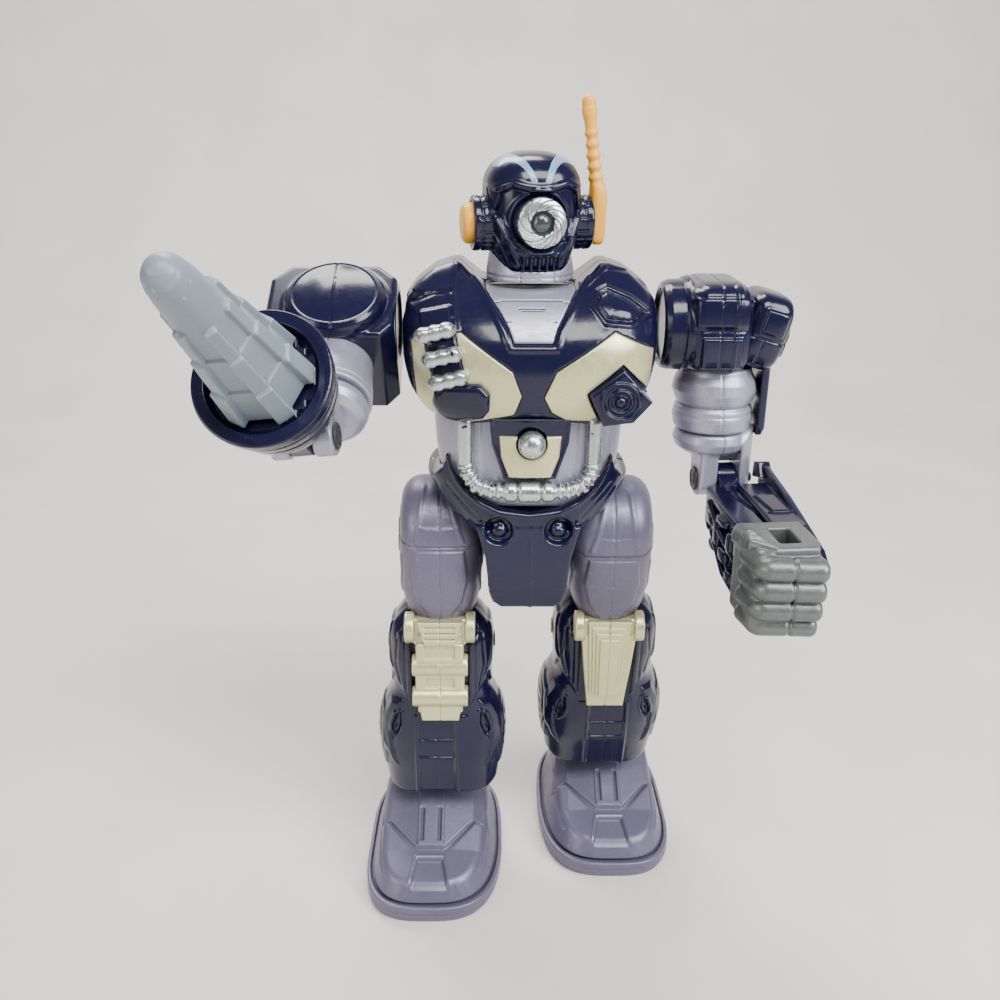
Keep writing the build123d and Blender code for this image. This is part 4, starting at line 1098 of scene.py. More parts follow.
def forearm_field(p):
    """Forearm shell, with blocks and pipes on its inner side, and the elbow's tongue."""
    x, y, z = p
    side = outline(y, z, [(-11.6, 149.4), (-46.5, 149.0), (-46.5, 127.6), (-42, 125.6),
                          (-32, 125.4), (-12, 137.6)])
    body = plate(side, x, 56.4, 70.4, 1.2)
    top = ramp(z - 145, 3)
    body = body + top * 0.9 * bump(line(x, y, [(62.6, -10), (62.8, -22), (65.6, -34), (66.0, -48)]), 1.3)
    body = body + ramp(58.6 - x, 1.0) * 0.9 * ramp(-(z - 146.5), 1.0) * ramp(-(y + 15), 2)
    inner = []
    for cy, cz, ry, rz in ((-20, 142, 3.4, 2.4), (-27, 139.5, 2.6, 4.4), (-34, 135, 3.8, 2.2),
                           (-39.5, 141, 2.4, 3.6), (-31, 145, 4.6, 1.3), (-41, 131, 3.0, 1.8),
                           (-24, 134.4, 3.2, 1.6)):
        inner.append(egg(p, (56.8, cy, cz), (1.7, ry, rz), 3.4))
    pipes = [limb(p, (56.2, -17, 146), (56.0, -30, 141), 0.9),
             limb(p, (56.0, -30, 141), (56.2, -44, 138.0), 0.9),
             limb(p, (56.2, -22, 138), (56.0, -36, 130), 1.0),
             limb(p, (56.0, -36, 130), (56.4, -45, 128.4), 1.0)]
    body = melt(body, union(*inner, *pipes), 0.4)
    tongue = rod(p, 0, *TONGUE_SPAN, ELBOW, 5.0, 0.5)
    web = plate(outline(y, z, [(ELBOW_Y, 154.3), (-14, 149.2), (-20, 140), (-12, 140), (ELBOW_Y, 144.6)]), x,
                *TONGUE_SPAN, 0.5)
    return melt(body, union(tongue, web), 0.5)


def armour_field(p):
    """Outer plate of the forearm, with its flange and hook."""
    x, y, z = p
    side = outline(y, z, [(-13.4, 150.7), (-24, 150.8), (-46.8, 150.0), (-46.8, 134.0),
                          (-30.0, 132.0), (-13.4, 140)])
    body = plate(side, x, 65.6, 75.6, 1.0)
    body = both(body, -both(66.0 - x, z - 149.4))
    raised = both(outline(x, y, [(66.8, -25.0), (74.4, -25.0), (74.4, -38.4), (68.4, -38.4)]), 147 - z)
    body = body - 0.7 * ramp(-raised, 0.7)
    body = body - ramp(z - 148, 1) * 0.5 * bump(line(x, y, [(67.6, -38.2), (74.4, -38.2)]), 0.7)
    body = both(body, -both(x - 70.2, z - 148.6))
    flange_side = outline(y, z, [(-6.6, 153.6), (-9.4, 155.6), (-16, 154.6), (-30, 152.6), (-46, 149.4),
                                 (-58, 146.8), (-62.4, 143.6), (-61.0, 139.8), (-46, 134.4), (-30.0, 129.6),
                                 (-14, 135), (-6.6, 142)])
    flange = plate(flange_side, x, 75.0, 77.3, 0.7)
    flange = flange - 0.35 * bump(flange_side + 1.2, 0.9) * ramp(x - 76.4, 0.5)
    hook = both(outline(y, z, [(-5.0, 150), (-5.6, 155.4), (-9.4, 156.4), (-12.5, 152)]), np.abs(x - 75.6)
                - 2.0)
    return melt(melt(body, flange, 0.7), hook, 0.8)


def fist_field(p):
    """Closed fist with a square hole down through it."""
    x, y, z = p
    core = box(p, (54.2, -67.0, 124.6), (73.4, -46.4, 150.2), 3.0)
    palm_top = outline(x, y, [(54.6, -46.4), (74.0, -46.4), (75.0, -60.0), (72.0, -66.4),
                              (60, -66.4), (54.0, -60)])
    core = union(core, trim(plate(palm_top, z, 140, 151.2, 1.4), y + 46.3, 0.6))
    fingers = []
    for number, (level, reach, radius) in enumerate(((145.4, -68.9, 3.45), (139.2, -68.5, 3.5),
                                                     (132.9, -67.4, 3.45), (126.9, -65.6, 3.15))):
        across = limb(p, (58.0, reach + 1.2, level + 0.4), (71.4, reach, level), radius, radius - 0.1)
        curl = limb(p, (56.6, reach + 2.2, level + 0.4), (55.2, -57.5, level + 0.6),
                    radius - 0.5, radius - 0.8)
        outer = limb(p, (71.6, reach + 0.4, level), (72.0, -54.0, level + 0.4), radius - 0.3, radius - 0.5)
        finger = melt(melt(across, curl, 1.0), outer, 1.0)
        finger = finger + ramp(-y - 60, 3) * 0.5 * bump(x - (64.2 + 0.4 * number), 0.9)
        fingers.append(finger)
    hand = fingers[0]
    for finger in fingers[1:]:
        hand = melt(hand, finger, 0.45)
    hand = melt(hand, core, 0.6)
    thumb = melt(limb(p, (56.8, -48.6, 147.6), (57.0, -56.0, 148.8), 3.6, 3.5),
                 limb(p, (57.0, -56.0, 148.8), (60.6, -63.4, 148.4), 3.5, 2.7), 0.8)
    thumb = thumb + 0.4 * bump(y + 55.5, 0.7)
    hand = melt(hand, thumb, 0.7)
    slot = box(p, (62.2, -62.3, 110), (68.3, -51.7, 170), 0.8)
    hand = carve(hand, slot, 0.8)
    grip = limb(p, (61.0, -56.6, 144.0), (69.4, -56.6, 144.6), 2.3)
    hand = trim(union(hand, grip), x - 74.0, 1.6)
    return both(hand, y + 46.2, 122.4 - z)


make("left_shoulder", left_shoulder_field, (40, -18.5, 185), (70, 18.5, 216), "navy_plastic",
     "left_upper_arm", ["left_shoulder_shell"], 0.4)
make("left_shoulder_pod", left_pod_field, (64, -14.5, 164), (81, 14.5, 214), "navy_plastic", "left_upper_arm",
     ["left_shoulder_pod"], 0.4)
make("left_upper_arm", left_upper_arm_field, (46, -14, 166), (74, 14, 187), "lilac_silver", "left_upper_arm",
     ["left_upper_arm"], 0.4)
make("left_elbow_fork", fork_field(11.9), (47, -13, 143), (74.4, 13, 178), "lilac_silver", "left_lower_arm",
     ["left_elbow_fork"], 0.4, LEFT_ARM_PLACE)
make("left_elbow_pin", elbow_pin_field, (53, -9, 144), (74.5, 1, 155), "black_plastic", "left_lower_arm",
     ["left_elbow_pin"], 0.25, LEFT_ARM_PLACE)
make("left_forearm", forearm_field, (53.5, -48, 124), (71.5, 2, 156), "navy_plastic", "left_forearm",
     ["left_forearm_shell"], 0.4, LEFT_ARM_PLACE)
make("left_forearm_armour", armour_field, (65, -64, 128), (78.5, -4, 157.5), "navy_plastic", "left_forearm",
     ["left_forearm_armour"], 0.4, LEFT_ARM_PLACE)
make("left_fist", fist_field, (51.5, -73.5, 122), (76.5, -45.5, 153), "fist_grey", "left_forearm",
     ["left_fist"], 0.35, LEFT_ARM_PLACE)


# ---- right arm -------------------------------------------------------------------
CUFF_X = 66.0
CUFF_Z = 156.5
CUFF = (CUFF_X, CUFF_Z)
DOME = (58.5, 194.5)


def right_block_field(p):
    """Square shoulder block with cut corners."""
    x, y, z = p
    flat = outline(x, z, [(40.7, 185.5), (44.5, 180.6), (74.4, 180.6), (79.3, 186.0), (79.3, 204.6),
                          (73.6, 211.0), (46.4, 211.0), (40.7, 205.5)])
    body = plate(flat, y, -13.4, 18.9, 1.6)
    chamfer = (np.abs(x - 60) + (y + 13.4) * -1.0) * 0.7
    body = trim(body, chamfer - 15.6 * 0.7 - 2.6, 1.0)
    front = ramp(-y - 10, 2)
    body = body - front * 0.3 * bump(hypot(x - DOME[0], z - DOME[1]) - 15.6, 1.0)
    side = ramp(x - 76, 1.5)
    body = body + side * 0.7 * ramp(-both(np.abs(y - 3) - 9, np.abs(z - 196) - 7), 0.8)
    for level in (191.5, 196.0, 200.5):
        body = body - side * 0.8 * bump(z - level, 1.1) * ramp(8 - np.abs(y - 3), 0.8)
    top = ramp(z - 208, 1.5) + ramp(183 - z, 1.5)
    body = body + top * 0.5 * bump(both(np.abs(x - 60) - 9, np.abs(y - 3) - 9), 0.7)
    body = body + 0.3 * bump(x - 58.5, 0.42) * ramp(y + 12, 1)
    hub = rod(p, 0, 40.6, 46, SHOULDER, 12.6, 0.6)
    body = melt(body, hub, 0.5)
    return carve(body, rod(p, 0, 36, 41.4, SHOULDER, 10.4, 0.3), 0.4)


def dome_field(p):
    """Round dome on the block's front."""
    x, y, z = p
    around = hypot(x - DOME[0], z - DOME[1])
    cap = (-y - 18.6 + 0.0105 * around ** 2) * 0.95
    body = trim(cap, around - 14.6, 1.6)
    body = body + ramp(-y - 15.5, 0.8) * groove(x - 58.5, 0.4, 0.3)
    body = both(body, y + 12.6)
    return body - 0.35 * bump(around - 13.0, 0.7) * ramp(-y - 15.0, 0.6)


def right_upper_arm_field(p):
    """Smooth upper arm."""
    x, y, z = p
    dx = x - ARM_X
    around = hypot(dx, y)
    body = lathe(around, z, [(164, 12.6), (166.2, 13.2), (170, 13.1), (176, 12.6), (182, 12.4), (188, 12.2)])
    body = body + groove(dx + 0.4, 0.4, 0.3) + groove(z - 168.2, 0.5, 0.25)
    return both(cap_ends(body, z, 166.2, 183.0, 0.6), 4.05 - around)


def cuff_field(p):
    """Ringed cuff that holds the drill, and the elbow's tongue."""
    x, y, z = p
    along = -y
    around = hypot(x - CUFF_X, z - CUFF_Z)
    shell = lathe(around, along, [(11, 12.0), (13.4, 13.4), (14.3, 14.6), (17.0, 15.2), (17.6, 14.7),
                                  (18.3, 14.7), (19.0, 16.4), (22.4, 16.9), (23.1, 16.0), (23.9, 16.0),
                                  (24.6, 17.5), (27.6, 18.0), (28.3, 17.0), (29.0, 17.0), (29.7, 18.6),
                                  (33.2, 18.9), (34.1, 18.3), (34.3, 17.6), (34.4, -9), (50, -9)]) * 0.8
    shell = both(shell, 13.4 - along)
    dish = np.interp(along, [29.5, 30.4, 31.4, 33.6, 34.4, 40], [-9, 13.0, 14.6, 15.4, 15.9, 16.4])
    shell = trim(shell, (dish - around) * 0.8, 0.5)
    tongue = rod(p, 0, *TONGUE_SPAN, ELBOW, 5.0, 0.5)
    web = plate(outline(y, z, [(ELBOW_Y, 154.3), (-16, 154.0), (-16, 144.6), (ELBOW_Y, 144.6)]), x,
                *TONGUE_SPAN, 0.5)
    return melt(shell, union(tongue, web), 0.6)


def drill_field(p):
    """Three six-sided tiers with ribs at their corners, and a blunt cone."""
    x, y, z = p
    along = -y
    dx, dz = x - CUFF_X, z - CUFF_Z
    around = hypot(dx, dz)
    angle = np.mod(np.arctan2(dz, dx) + math.pi / 6, math.pi / 3) - math.pi / 6
    flat_angle = np.mod(np.arctan2(dz, dx), math.pi / 3) - math.pi / 6
    body = lathe(around, along, [(70, 6.7), (75.5, 6.5), (84, 5.8), (88.4, 5.2), (90.6, 4.6), (92.2, 3.6),
                                 (93.4, 2.3), (94.1, 0.4), (94.6, -4), (110, -4)]) * 0.85
    body = both(body, 60 - along)
    for start, end, radius in ((32.2, 48.0, 13.2), (47.0, 63.0, 10.7), (62.0, 75.4, 8.5)):
        taper = radius * (1 - 0.008 * (along - start))
        hexagon = around * np.cos(flat_angle) - taper * 0.84
        rib = trim(np.abs(around * np.sin(angle)) - taper * 0.2, around * np.cos(angle) - taper * 1.03, 0.6)
        tier = melt(hexagon, rib, 0.25)
        terrace = (tier + 2.0 * (along - end + 1.1)) * 0.45
        tier = trim(both(tier, terrace), np.abs(along - (start + end) / 2) - (end - start) / 2, 0.3)
        body = union(body, tier)
    boss = rod(p, 1, -33.5, -22, CUFF, 3.0, 0.3)
    return union(body, boss)


make("right_shoulder_block", right_block_field, (40, -14, 180), (80, 19.5, 212), "navy_plastic",
     "right_upper_arm", ["right_shoulder_block"], 0.45, RIGHT_ARM_PLACE, True)
make("right_shoulder_dome", dome_field, (43, -19.2, 179), (74, -12.4, 210), "navy_plastic", "right_upper_arm",
     ["right_shoulder_dome"], 0.35, RIGHT_ARM_PLACE, True)
make("right_upper_arm", right_upper_arm_field, (46, -14, 166), (74, 14, 183.5), "lilac_silver",
     "right_upper_arm", ["right_upper_arm"], 0.4, RIGHT_ARM_PLACE, True)
make("right_elbow_fork", fork_field(12.2), (47, -13, 143), (74.4, 13, 178), "lilac_silver", "right_lower_arm",
     ["right_elbow_fork"], 0.4, RIGHT_LOWER_PLACE, True)
make("right_elbow_pin", elbow_pin_field, (53, -9, 144), (74.5, 1, 155), "black_plastic", "right_lower_arm",
     ["right_elbow_pin"], 0.25, RIGHT_LOWER_PLACE, True)
make("right_forearm_cuff", cuff_field, (46.5, -35, 137), (85.5, 1.5, 176), "navy_plastic", "right_forearm",
     ["right_forearm_cuff"], 0.4, RIGHT_FOREARM_PLACE, True)
make("drill", drill_field, (51, -95, 141.5), (81, -21.5, 171.5), "drill_grey", "drill", ["drill"], 0.33,
     RIGHT_FOREARM_PLACE, True)


# ---- legs --------------------------------------------------------------------------
def thigh_bulk(p):
    """The thigh without its panels and creases."""
    z = p[2]
    body = column(p, THIGH, 2.7, LEG_X)
    crown = rod(p, 0, LEG_X - 13.8, LEG_X + 13.0, (0.0, HIP_Z), 17.4, 7.0)
    body = both(body, (z - HIP_Z - 3.0))
    body = melt(body, crown, 2.0)
    return trim(body, 99.4 - z, 1.6)


def thigh_field(p):
    """Thigh with its front panel, creases and hip hub."""
    x, y, z = p
    dx = x - LEG_X
    body = thigh_bulk(p)
    front = ramp(-y - 5, 3)
    panel = outline(dx, z, mirrored([(8.4, 127.2), (9.6, 117.0), (7.4, 108.5), (4.4, 104.6), (3.4, 97)]))
    body = body - front * 0.65 * ramp(-panel, 0.9)
    waist = np.where(np.abs(dx) < 10, 128.3, 128.3 + (np.abs(dx) - 10) * 0.5)
    body = body + ramp(-y + 8, 8) * groove(z - waist, 0.55, 0.4)
    body = body + ramp(y + 6, 4) * groove(z - 126, 0.5, 0.3) * ramp(12 - y, 4)
    body = body + front * groove(dx, 0.42, 0.28) + ramp(y - 8, 3) * groove(dx, 0.42, 0.28)
    fan = ramp(z - 129, 1.5)
    for foot, head in ((-7.6, -2.6), (7.6, 5.4)):
        crease = line(dx, z, [(foot, 129.4), (head, 146)])
        body = body - front * fan * 0.4 * bump(crease, 1.3)
    side = ramp(np.abs(dx) - 9, 3)
    body = body - side * 0.5 * bump(line(y, z, [(-12, 124), (-6, 110), (8, 108), (13, 122)]), 1.0)
    outer = ramp(dx - 11, 1.5)
    hub = hypot(y, z - HIP_Z)
    body = body - outer * (0.5 * ramp(9.0 - hub, 0.8) - 0.5 * bump(hub - 5.4, 0.7))
    inner = ramp(-dx - 11, 1.5)
    body = body - inner * 0.3 * ramp(7.0 - hub, 0.8)
    return body


def guard_common(p):
    """What the two knee guards share: corner bosses and the bridge between them."""
    dx, y, z = p[0] - LEG_X - 0.2, p[1], p[2]
    bosses = []
    for side in (-1, 1):
        boss = rod(np.stack([dx, y, z]), 0, side * 8.5, side * 11.7, (-13.4, 99.2), 5.2, 0.6)
        boss = boss + 0.4 * bump(hypot(y + 13.4, z - 99.2) - 3.0, 0.6) * ramp(np.abs(dx) - 11.0, 0.5)
        bosses.append(boss)
    bridge = box(np.stack([dx, y, z]), (-9.2, -15.8, 93.6), (9.2, -10.8, 103.0), 1.2)
    return dx, y, z, union(*bosses, bridge)


def right_guard_field(p):
    """Knee guard with louvres above and two barrels below."""
    dx, y, z, body = guard_common(p)
    q = np.stack([dx, y, z])
    cap = outline(dx, z, mirrored([(7.4, 102.8), (5.2, 95.4), (5.0, 90.5)]))
    cap = plate(cap, y, -19.0, -12, 0.6)
    for level in (100.9, 98.9, 96.9):
        cap = cap + 0.75 * bump(z - level, 0.62) * ramp(5.6 - np.abs(dx), 0.8)
    cap = trim(cap, (-19.1 - y) + np.maximum(95.6 - z, 0) * 0.36, 0.4)
    webs = box(q, (-7.6, -16.2, 69.0), (7.6, -11, 98), 0.8)
    barrels = []
    for level, radius in ((86.2, 3.75), (74.9, 3.55)):
        barrels.append(rod(q, 0, -9.3, 9.3, (-15.0, level), radius, 0.45))
    pockets = union(box(q, (-5.0, -30, 89.6), (5.0, -17.2, 94.6), 0.5),
                    box(q, (-4.8, -30, 78.8), (4.8, -16.4, 82.2), 0.5))
    shoulder = union(box(q, (-8.2, -17.6, 77.6), (8.2, -12, 83.6), 1.0),
                     box(q, (-8.0, -18.2, 88), (8.0, -12, 95), 1.2))
    foot = plate(outline(dx, z, mirrored([(7.4, 73), (6.2, 66.4)])), y, -16.9, -11.5, 0.6)
    body = melt(union(body, webs, foot), union(cap, shoulder), 0.5)
    body = carve(body, pockets, 0.5)
    body = melt(body, union(*barrels), 0.5)
    return body + ramp(-y - 13, 1.5) * groove(dx, 0.34, 0.3)


def left_guard_field(p):
    """Knee guard with stepped ribs that nest inside each other."""
    dx, y, z, body = guard_common(p)
    base = outline(dx, z, mirrored([(9.4, 97.5), (8.2, 84), (7.0, 73.0), (6.4, 67.0)]))
    body = melt(body, plate(base, y, -16.3, -11, 0.7), 0.5)
    for number in range(4):
        top = 102.8 - 1.95 * number
        half_top, half_low = 7.3 - 1.35 * number, 5.9 - 1.0 * number
        step = outline(dx, z, mirrored([(half_top, top), (half_low, 73.8)]))
        body = union(body, plate(step, y, -17.2 - 0.75 * number, -12, 0.25))
    return body + ramp(-y - 13, 1.5) * groove(dx, 0.34, 0.3)


SHIN_X = 28.8


def shin_field(p):
    """Shin shell, open above for the thigh, with the ankle's stem and pin below."""
    x, y, z = p
    dx = x - SHIN_X
    ax = np.abs(dx)
    body = column(p, SHIN, 2.6, SHIN_X)
    front = ramp(-y - 1, 3)
    strip = dx - 1.5
    body = trim(body, -y - 12.6 - 2.2 * ramp(np.abs(strip) - 6.2, 6), 1.5)
    body = body + front * (0.5 * ramp(6.3 - np.abs(strip), 0.5)
                           - 0.45 * bump(np.abs(strip) - 7.0, 0.8)) * ramp(70 - z, 2)
    for level in (56.3, 49.4):
        body = body - front * 0.7 * bump(z - level, 0.5) * ramp(6.1 - np.abs(strip), 0.3)
    body = body + front * groove(strip, 0.36, 0.25)
    wing_edge = [(8.6, 68), (11.0, 70.4), (15.8, 78.0), (18.4, 84), (18.4, 108), (9.4, 108), (9.2, 90)]
    wing = np.minimum(outline(dx, z, wing_edge), outline(-dx, z, wing_edge))
    body = body - ramp(-y - 1, 4) * (0.9 * ramp(-wing, 1.0))
    leaf = outline(ax, z, [(11.8, 97), (14.2, 95), (15.2, 84), (13.4, 76), (11.6, 74)])
    body = body + ramp(-y, 4) * 0.35 * bump(leaf, 0.7)
    pod = outline(ax, z, [(12.6, 71.5), (17.6, 70.5), (21.0, 64.0), (21.4, 54.0), (18.0, 46.0),
                          (14.2, 43.0), (16.8, 51.0), (17.2, 58.0), (14.6, 64.0)])
    body = body - ramp(-y + 4, 6) * (1.0 * ramp(-pod, 1.2))
    eyelet = outline(ax, z, [(13.6, 67.0), (15.8, 66.0), (17.2, 61.6), (16.4, 56.6),
                             (14.6, 58.6), (13.4, 62.4)])
    body = body + ramp(-y - 1, 3) * (0.7 * ramp(-eyelet, 0.7) - 0.4 * bump(eyelet - 0.4, 0.7))
    flank = ramp(ax - 14, 3)
    ring = outline(y, z, [(-8, 82), (-4, 98), (9, 99), (15, 88), (14, 76), (-2, 74)])
    body = body - flank * 0.8 * ramp(-ring, 1.2)
    disc = hypot(y - 3.5, z - 88)
    body = body + flank * (0.6 * bump(disc - 5.2, 0.7) - 0.5 * ramp(3.2 - disc, 0.7))
    calf = outline(y, z, [(-6, 66), (4, 69), (16, 66), (19, 54), (14, 42), (-3, 42), (-8, 52)])
    body = body - flank * (0.7 * ramp(-calf, 1.2) - 0.35 * bump(calf + 3.0, 0.6))
    for level in (50.0, 54.0, 58.0, 62.0):
        body = body + flank * 0.45 * bump(z - level, 0.7) * ramp(-(calf + 4.4), 0.8)
    back = ramp(y - 8, 4)
    body = body - back * 0.6 * ramp(-outline(dx, z, mirrored([(9, 92), (11, 70), (7, 46)])), 1.0)
    for level in (84.0, 79.0, 74.0):
        body = body + back * 0.5 * bump(z - level, 0.8) * ramp(6.5 - ax, 1.0)
    body = body + 0.3 * bump(dx, 0.42) * ramp(y - 4, 3)
    hem = 35.2 + (0.9 * ramp(15 - ax, 12) - 1.7) * ramp(-y, 6)
    body = trim(body, (hem - z), 0.9)
    socket = both(-(thigh_bulk(p) - 0.35), body)
    notch = box(p, (LEG_X - 9.4, -30, 66.0), (LEG_X + 9.6, -12.2, 112), 0.6)
    bosses = rod(p, 0, LEG_X - 12.2, LEG_X + 12.6, (-13.4, 99.2), 5.6, 0.4)
    body = carve(socket, union(notch, bosses), 0.4)
    ankle_z = HIP_Z - LEG_LENGTH
    stem = outline(y, z - ankle_z, [(-1.0, -1.2), (0.0, 1.6), (4.6, 4.0), (4.6, 18.0), (9.6, 18.0),
                                    (9.6, 2.5), (5.5, -0.4), (1.0, -2.0)])
    ankle = union(plate(stem, x, FOOT_X - 6.8, FOOT_X + 9.0, 0.5),
                  rod(p, 0, FOOT_X - 6.8, FOOT_X + 9.0, (0.0, ankle_z), 2.4, 0.5))
    return union(body, ankle)


def foot_centre(y):
    """The sole bends slightly outward towards the toe."""
    return FOOT_X + 1.3 + 0.045 * np.clip(-y, 0, 40)


def foot_field(p):
    """Foot upper with its strip, slots and recess, and the ankle's well."""
    x, y, z = p
    dx = x - foot_centre(y)
    mid = x - FOOT_X - 2.3
    amid = np.abs(mid)
    body = column(np.stack([dx, y, z]), FOOT, 3.1)
    behind = [(-36, 9.0), (-30.5, 11.4), (-27.6, 13.9), (-15.2, 18.4), (-8, 22.6), (0, 27.2), (7, 31.2),
              (12, 32.6), (22, 31.8), (30, 27.0), (38, 18.6), (44, 8.0), (50, 4)]
    crest = np.interp(y, [a for a, _ in behind], [b for _, b in behind])
    fall = 0.26 * np.maximum(amid - 4.8, 0) + 0.9 * np.maximum(amid - 15.0, 0)
    step = -15.0 + np.clip(amid - 4.9, 0, 11) * 1.02 - y
    lower = ramp(step, 0.35)
    fall = fall * (1 - 0.75 * ramp(step, 3.0))
    top = crest - fall - 1.15 * lower + 0.55 * ramp(4.8 - amid, 0.5) * ramp(-step + 0.4, 0.5)
    body = trim(body, (z - top) * 0.8, 1.1)
    front = ramp(-y - 1, 1)
    for offset in (-3.1, 3.1):
        slot = both(np.abs(mid - offset) - 0.62, np.abs(y + 8.2) - 5.2)
        body = body + 0.9 * ramp(-slot + 0.2, 0.5) * front
    recess = outline(mid, y, mirrored([(4.7, -18.2), (6.9, -28.6)]))
    body = body + 0.95 * ramp(-recess, 0.8) * ramp(z - 10, 2)
    body = body - 0.25 * bump(recess - 0.6, 0.7) * ramp(z - 10, 2)
    flank = ramp(np.abs(dx) - 15, 2)
    body = body - flank * 0.4 * bump(line(y, z, [(-20, 12), (0, 20), (22, 22), (36, 14)]), 0.9)
    heel = ramp(y - 30, 3)
    for level in (11.0, 14.5, 18.0):
        body = body + heel * 0.5 * bump(z - level, 0.8) * ramp(9 - np.abs(dx), 1.2)
    well = limb(np.stack([y, z, np.zeros_like(z)]), (0.0, ANKLE_Z, 0.0), (6.0, 24.5, 0.0), 2.9)
    well = both(well, FOOT_X - 7.4 - x, x - FOOT_X - 9.6)
    slot = union(box(p, (FOOT_X - 7.4, 3.6, 20.0), (FOOT_X + 9.6, 11.2, 50.0), 0.4), well)
    body = carve(body, slot, 0.3)
    return trim(body, 6.5 - z, 0.5)


def sole_field(p):
    """Sole with a raised rim."""
    x, y, z = p
    dx = x - foot_centre(y)
    body = column(np.stack([dx, y, z]), SOLE, 3.1)
    inner = column(np.stack([dx, y, np.full_like(z, 6.4)]), FOOT, 3.1)
    body = trim(body, z - 6.3, 0.8)
    body = body + 0.25 * bump(z - 3.4, 0.5) * ramp(inner, 1)
    body = both(body, -both(inner - 0.6, 5.4 - z))
    return trim(body, 0.02 - z, 0.6)


def leg_set(side, place, foot_place, guard_field):
    """The five pieces of one leg."""
    flip = side == "right"
    leg, foot = side + "_leg", side + "_foot"
    make(side + "_thigh", thigh_field, (13, -20, 98), (43, 19, 149.5), "purple_plastic", leg,
         [side + "_thigh_outer_shell", side + "_thigh_inner_shell"], 0.42, place, flip)
    make(side + "_knee_guard", guard_field, (16, -21.5, 65), (41, -10, 105), "gold_paint", leg,
         [side + "_knee_guard"], 0.26, place, flip)
    make(side + "_shin", shin_field, (5, -17, 14), (53, 24, 107), "navy_plastic", leg,
         [side + "_shin_outer_shell", side + "_shin_inner_shell", side + "_ankle_pin"], 0.42, place, flip)
    make(side + "_foot_upper", foot_field, (8, -34, 6), (59, 45, 36), "purple_plastic", foot,
         [side + "_foot_upper"], 0.36, foot_place, flip)
    make(side + "_foot_sole", sole_field, (6, -34, -0.2), (61, 46.5, 7), "purple_plastic", foot,
         [side + "_foot_sole"], 0.45, foot_place, flip)


leg_set("left", LEFT_LEG_PLACE, LEFT_FOOT_PLACE, left_guard_field)
leg_set("right", RIGHT_LEG_PLACE, RIGHT_FOOT_PLACE, right_guard_field)


# ---- pieces inside the body keep their CAD shapes -----------------------------------
for inside, finish in (("batteries", "battery_wrap"), ("circuit_board", "circuit_green"),
                       ("speaker", "black_plastic"), ("gearbox_case", "black_plastic"), ("motor", "steel"),
                       ("hip_shaft", "steel")):
    cad_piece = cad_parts[inside]
    cad_piece.data.materials.clear()
    cad_piece.data.materials.append(MATERIALS[finish])


# ---- stage, light and camera ---------------------------------------------------------
def floor_material():
    """Matt pale card."""
    material = bpy.data.materials.new("floor_card")
    material.use_nodes = True
    tree = material.node_tree
    shader = tree.nodes["Principled BSDF"]
    coords = node(tree, "ShaderNodeTexCoord").outputs["Object"]
    tone = blend_colours(tree, spread(tree, noise(tree, coords, 9.0, 5.0), 0.3, 0.7), (0.60, 0.575, 0.54, 1),
                         (0.66, 0.64, 0.605, 1))
    tree.links.new(tone, shader.inputs["Base Color"])
    grain = node(tree, "ShaderNodeBump", [("Strength", 0.15), ("Distance", 0.0005),
                                          ("Height", noise(tree, coords, 900.0, 3.0))])
    tree.links.new(grain.outputs[0], shader.inputs["Normal"])
    shader.inputs["Roughness"].default_value = 0.75
    return material


def make_stage():
    """A pale sweep: a floor that curves up into a wall well behind the toy."""
    steps, half_width, front, bend_start, bend_radius, wall, wall_top = 24, 2.4, -1.6, 0.55, 0.35, 0.9, 2.2
    profile = [(front, 0.0), (bend_start, 0.0)]
    for step in range(1, steps + 1):
        angle = math.pi / 2 * step / steps
        rise = bend_radius * (1 - math.cos(angle))
        profile.append((bend_start + bend_radius * math.sin(angle), rise))
    profile.append((wall, wall_top))
    vertices = [(side * half_width, y, z) for y, z in profile for side in (-1, 1)]
    faces = [(2 * i, 2 * i + 1, 2 * i + 3, 2 * i + 2) for i in range(len(profile) - 1)]
    mesh = bpy.data.meshes.new("stage")
    mesh.from_pydata(vertices, [], faces)
    for polygon in mesh.polygons:
        polygon.use_smooth = True
    mesh.materials.append(floor_material())
    sweep = bpy.data.objects.new("stage", mesh)
    bpy.context.scene.collection.objects.link(sweep)


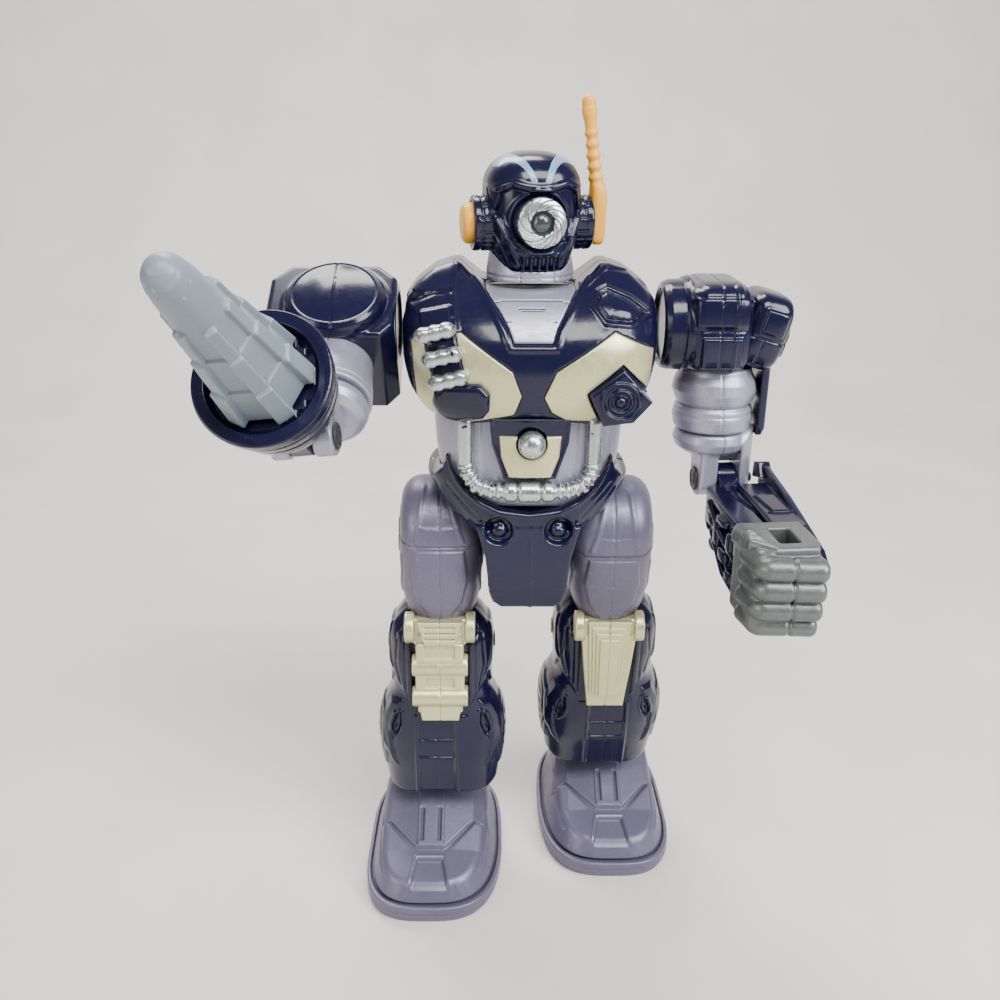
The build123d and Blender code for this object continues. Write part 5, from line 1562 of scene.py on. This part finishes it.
def area_light(name, place, target, size, power, colour=(1, 1, 1)):
    """A soft rectangular lamp aimed at a point."""
    light = bpy.data.lights.new(name, "AREA")
    light.shape = "RECTANGLE"
    light.size, light.size_y = size
    light.energy = power
    light.color = colour
    lamp = bpy.data.objects.new(name, light)
    lamp.location = place
    lamp.visible_camera = False
    lamp.rotation_euler = (Vector(target) - Vector(place)).to_track_quat("-Z", "Y").to_euler()
    bpy.context.scene.collection.objects.link(lamp)


make_stage()
CENTRE = (0.0, 0.03, 0.14)
area_light("window", (0.75, -0.55, 0.75), CENTRE, (0.5, 0.7), 19, (0.95, 0.975, 1.0))
area_light("ceiling", (0.15, -0.6, 1.05), CENTRE, (0.6, 0.4), 13, (1.0, 0.985, 0.96))
area_light("back", (-0.1, 0.5, 1.1), (0.0, 0.2, 0.0), (0.5, 0.3), 8, (1.0, 0.985, 0.96))
area_light("fill", (-0.9, -0.6, 0.45), CENTRE, (0.6, 0.6), 6, (1.0, 0.97, 0.93))
area_light("rim", (-0.4, 0.7, 0.95), CENTRE, (0.4, 0.4), 6)
world = bpy.data.worlds.new("studio")
world.use_nodes = True
world.node_tree.nodes["Background"].inputs[0].default_value = (0.80, 0.79, 0.78, 1)
world.node_tree.nodes["Background"].inputs[1].default_value = 0.28
bpy.context.scene.world = world

CAMERA_PLACE = (AXIS_X - 0.0125, AXIS_Y - 0.313, 0.260)
YAW, PITCH, ROLL = math.radians(0.7), math.radians(21.0), math.radians(0.4)
camera_data = bpy.data.cameras.new("camera")
camera_data.lens, camera_data.sensor_width = 36.0, 36.0
camera = bpy.data.objects.new("camera", camera_data)
look = Vector((math.sin(YAW) * math.cos(PITCH), math.cos(YAW) * math.cos(PITCH), -math.sin(PITCH)))
right = Vector((math.cos(YAW), -math.sin(YAW), 0.0))
up = right.cross(look)
right_tilted = right * math.cos(ROLL) + up * math.sin(ROLL)
up_tilted = up * math.cos(ROLL) - right * math.sin(ROLL)
turned = Matrix((right_tilted, up_tilted, -look)).transposed().to_4x4()
camera.matrix_world = Matrix.Translation(CAMERA_PLACE) @ turned
bpy.context.scene.collection.objects.link(camera)
bpy.context.scene.camera = camera
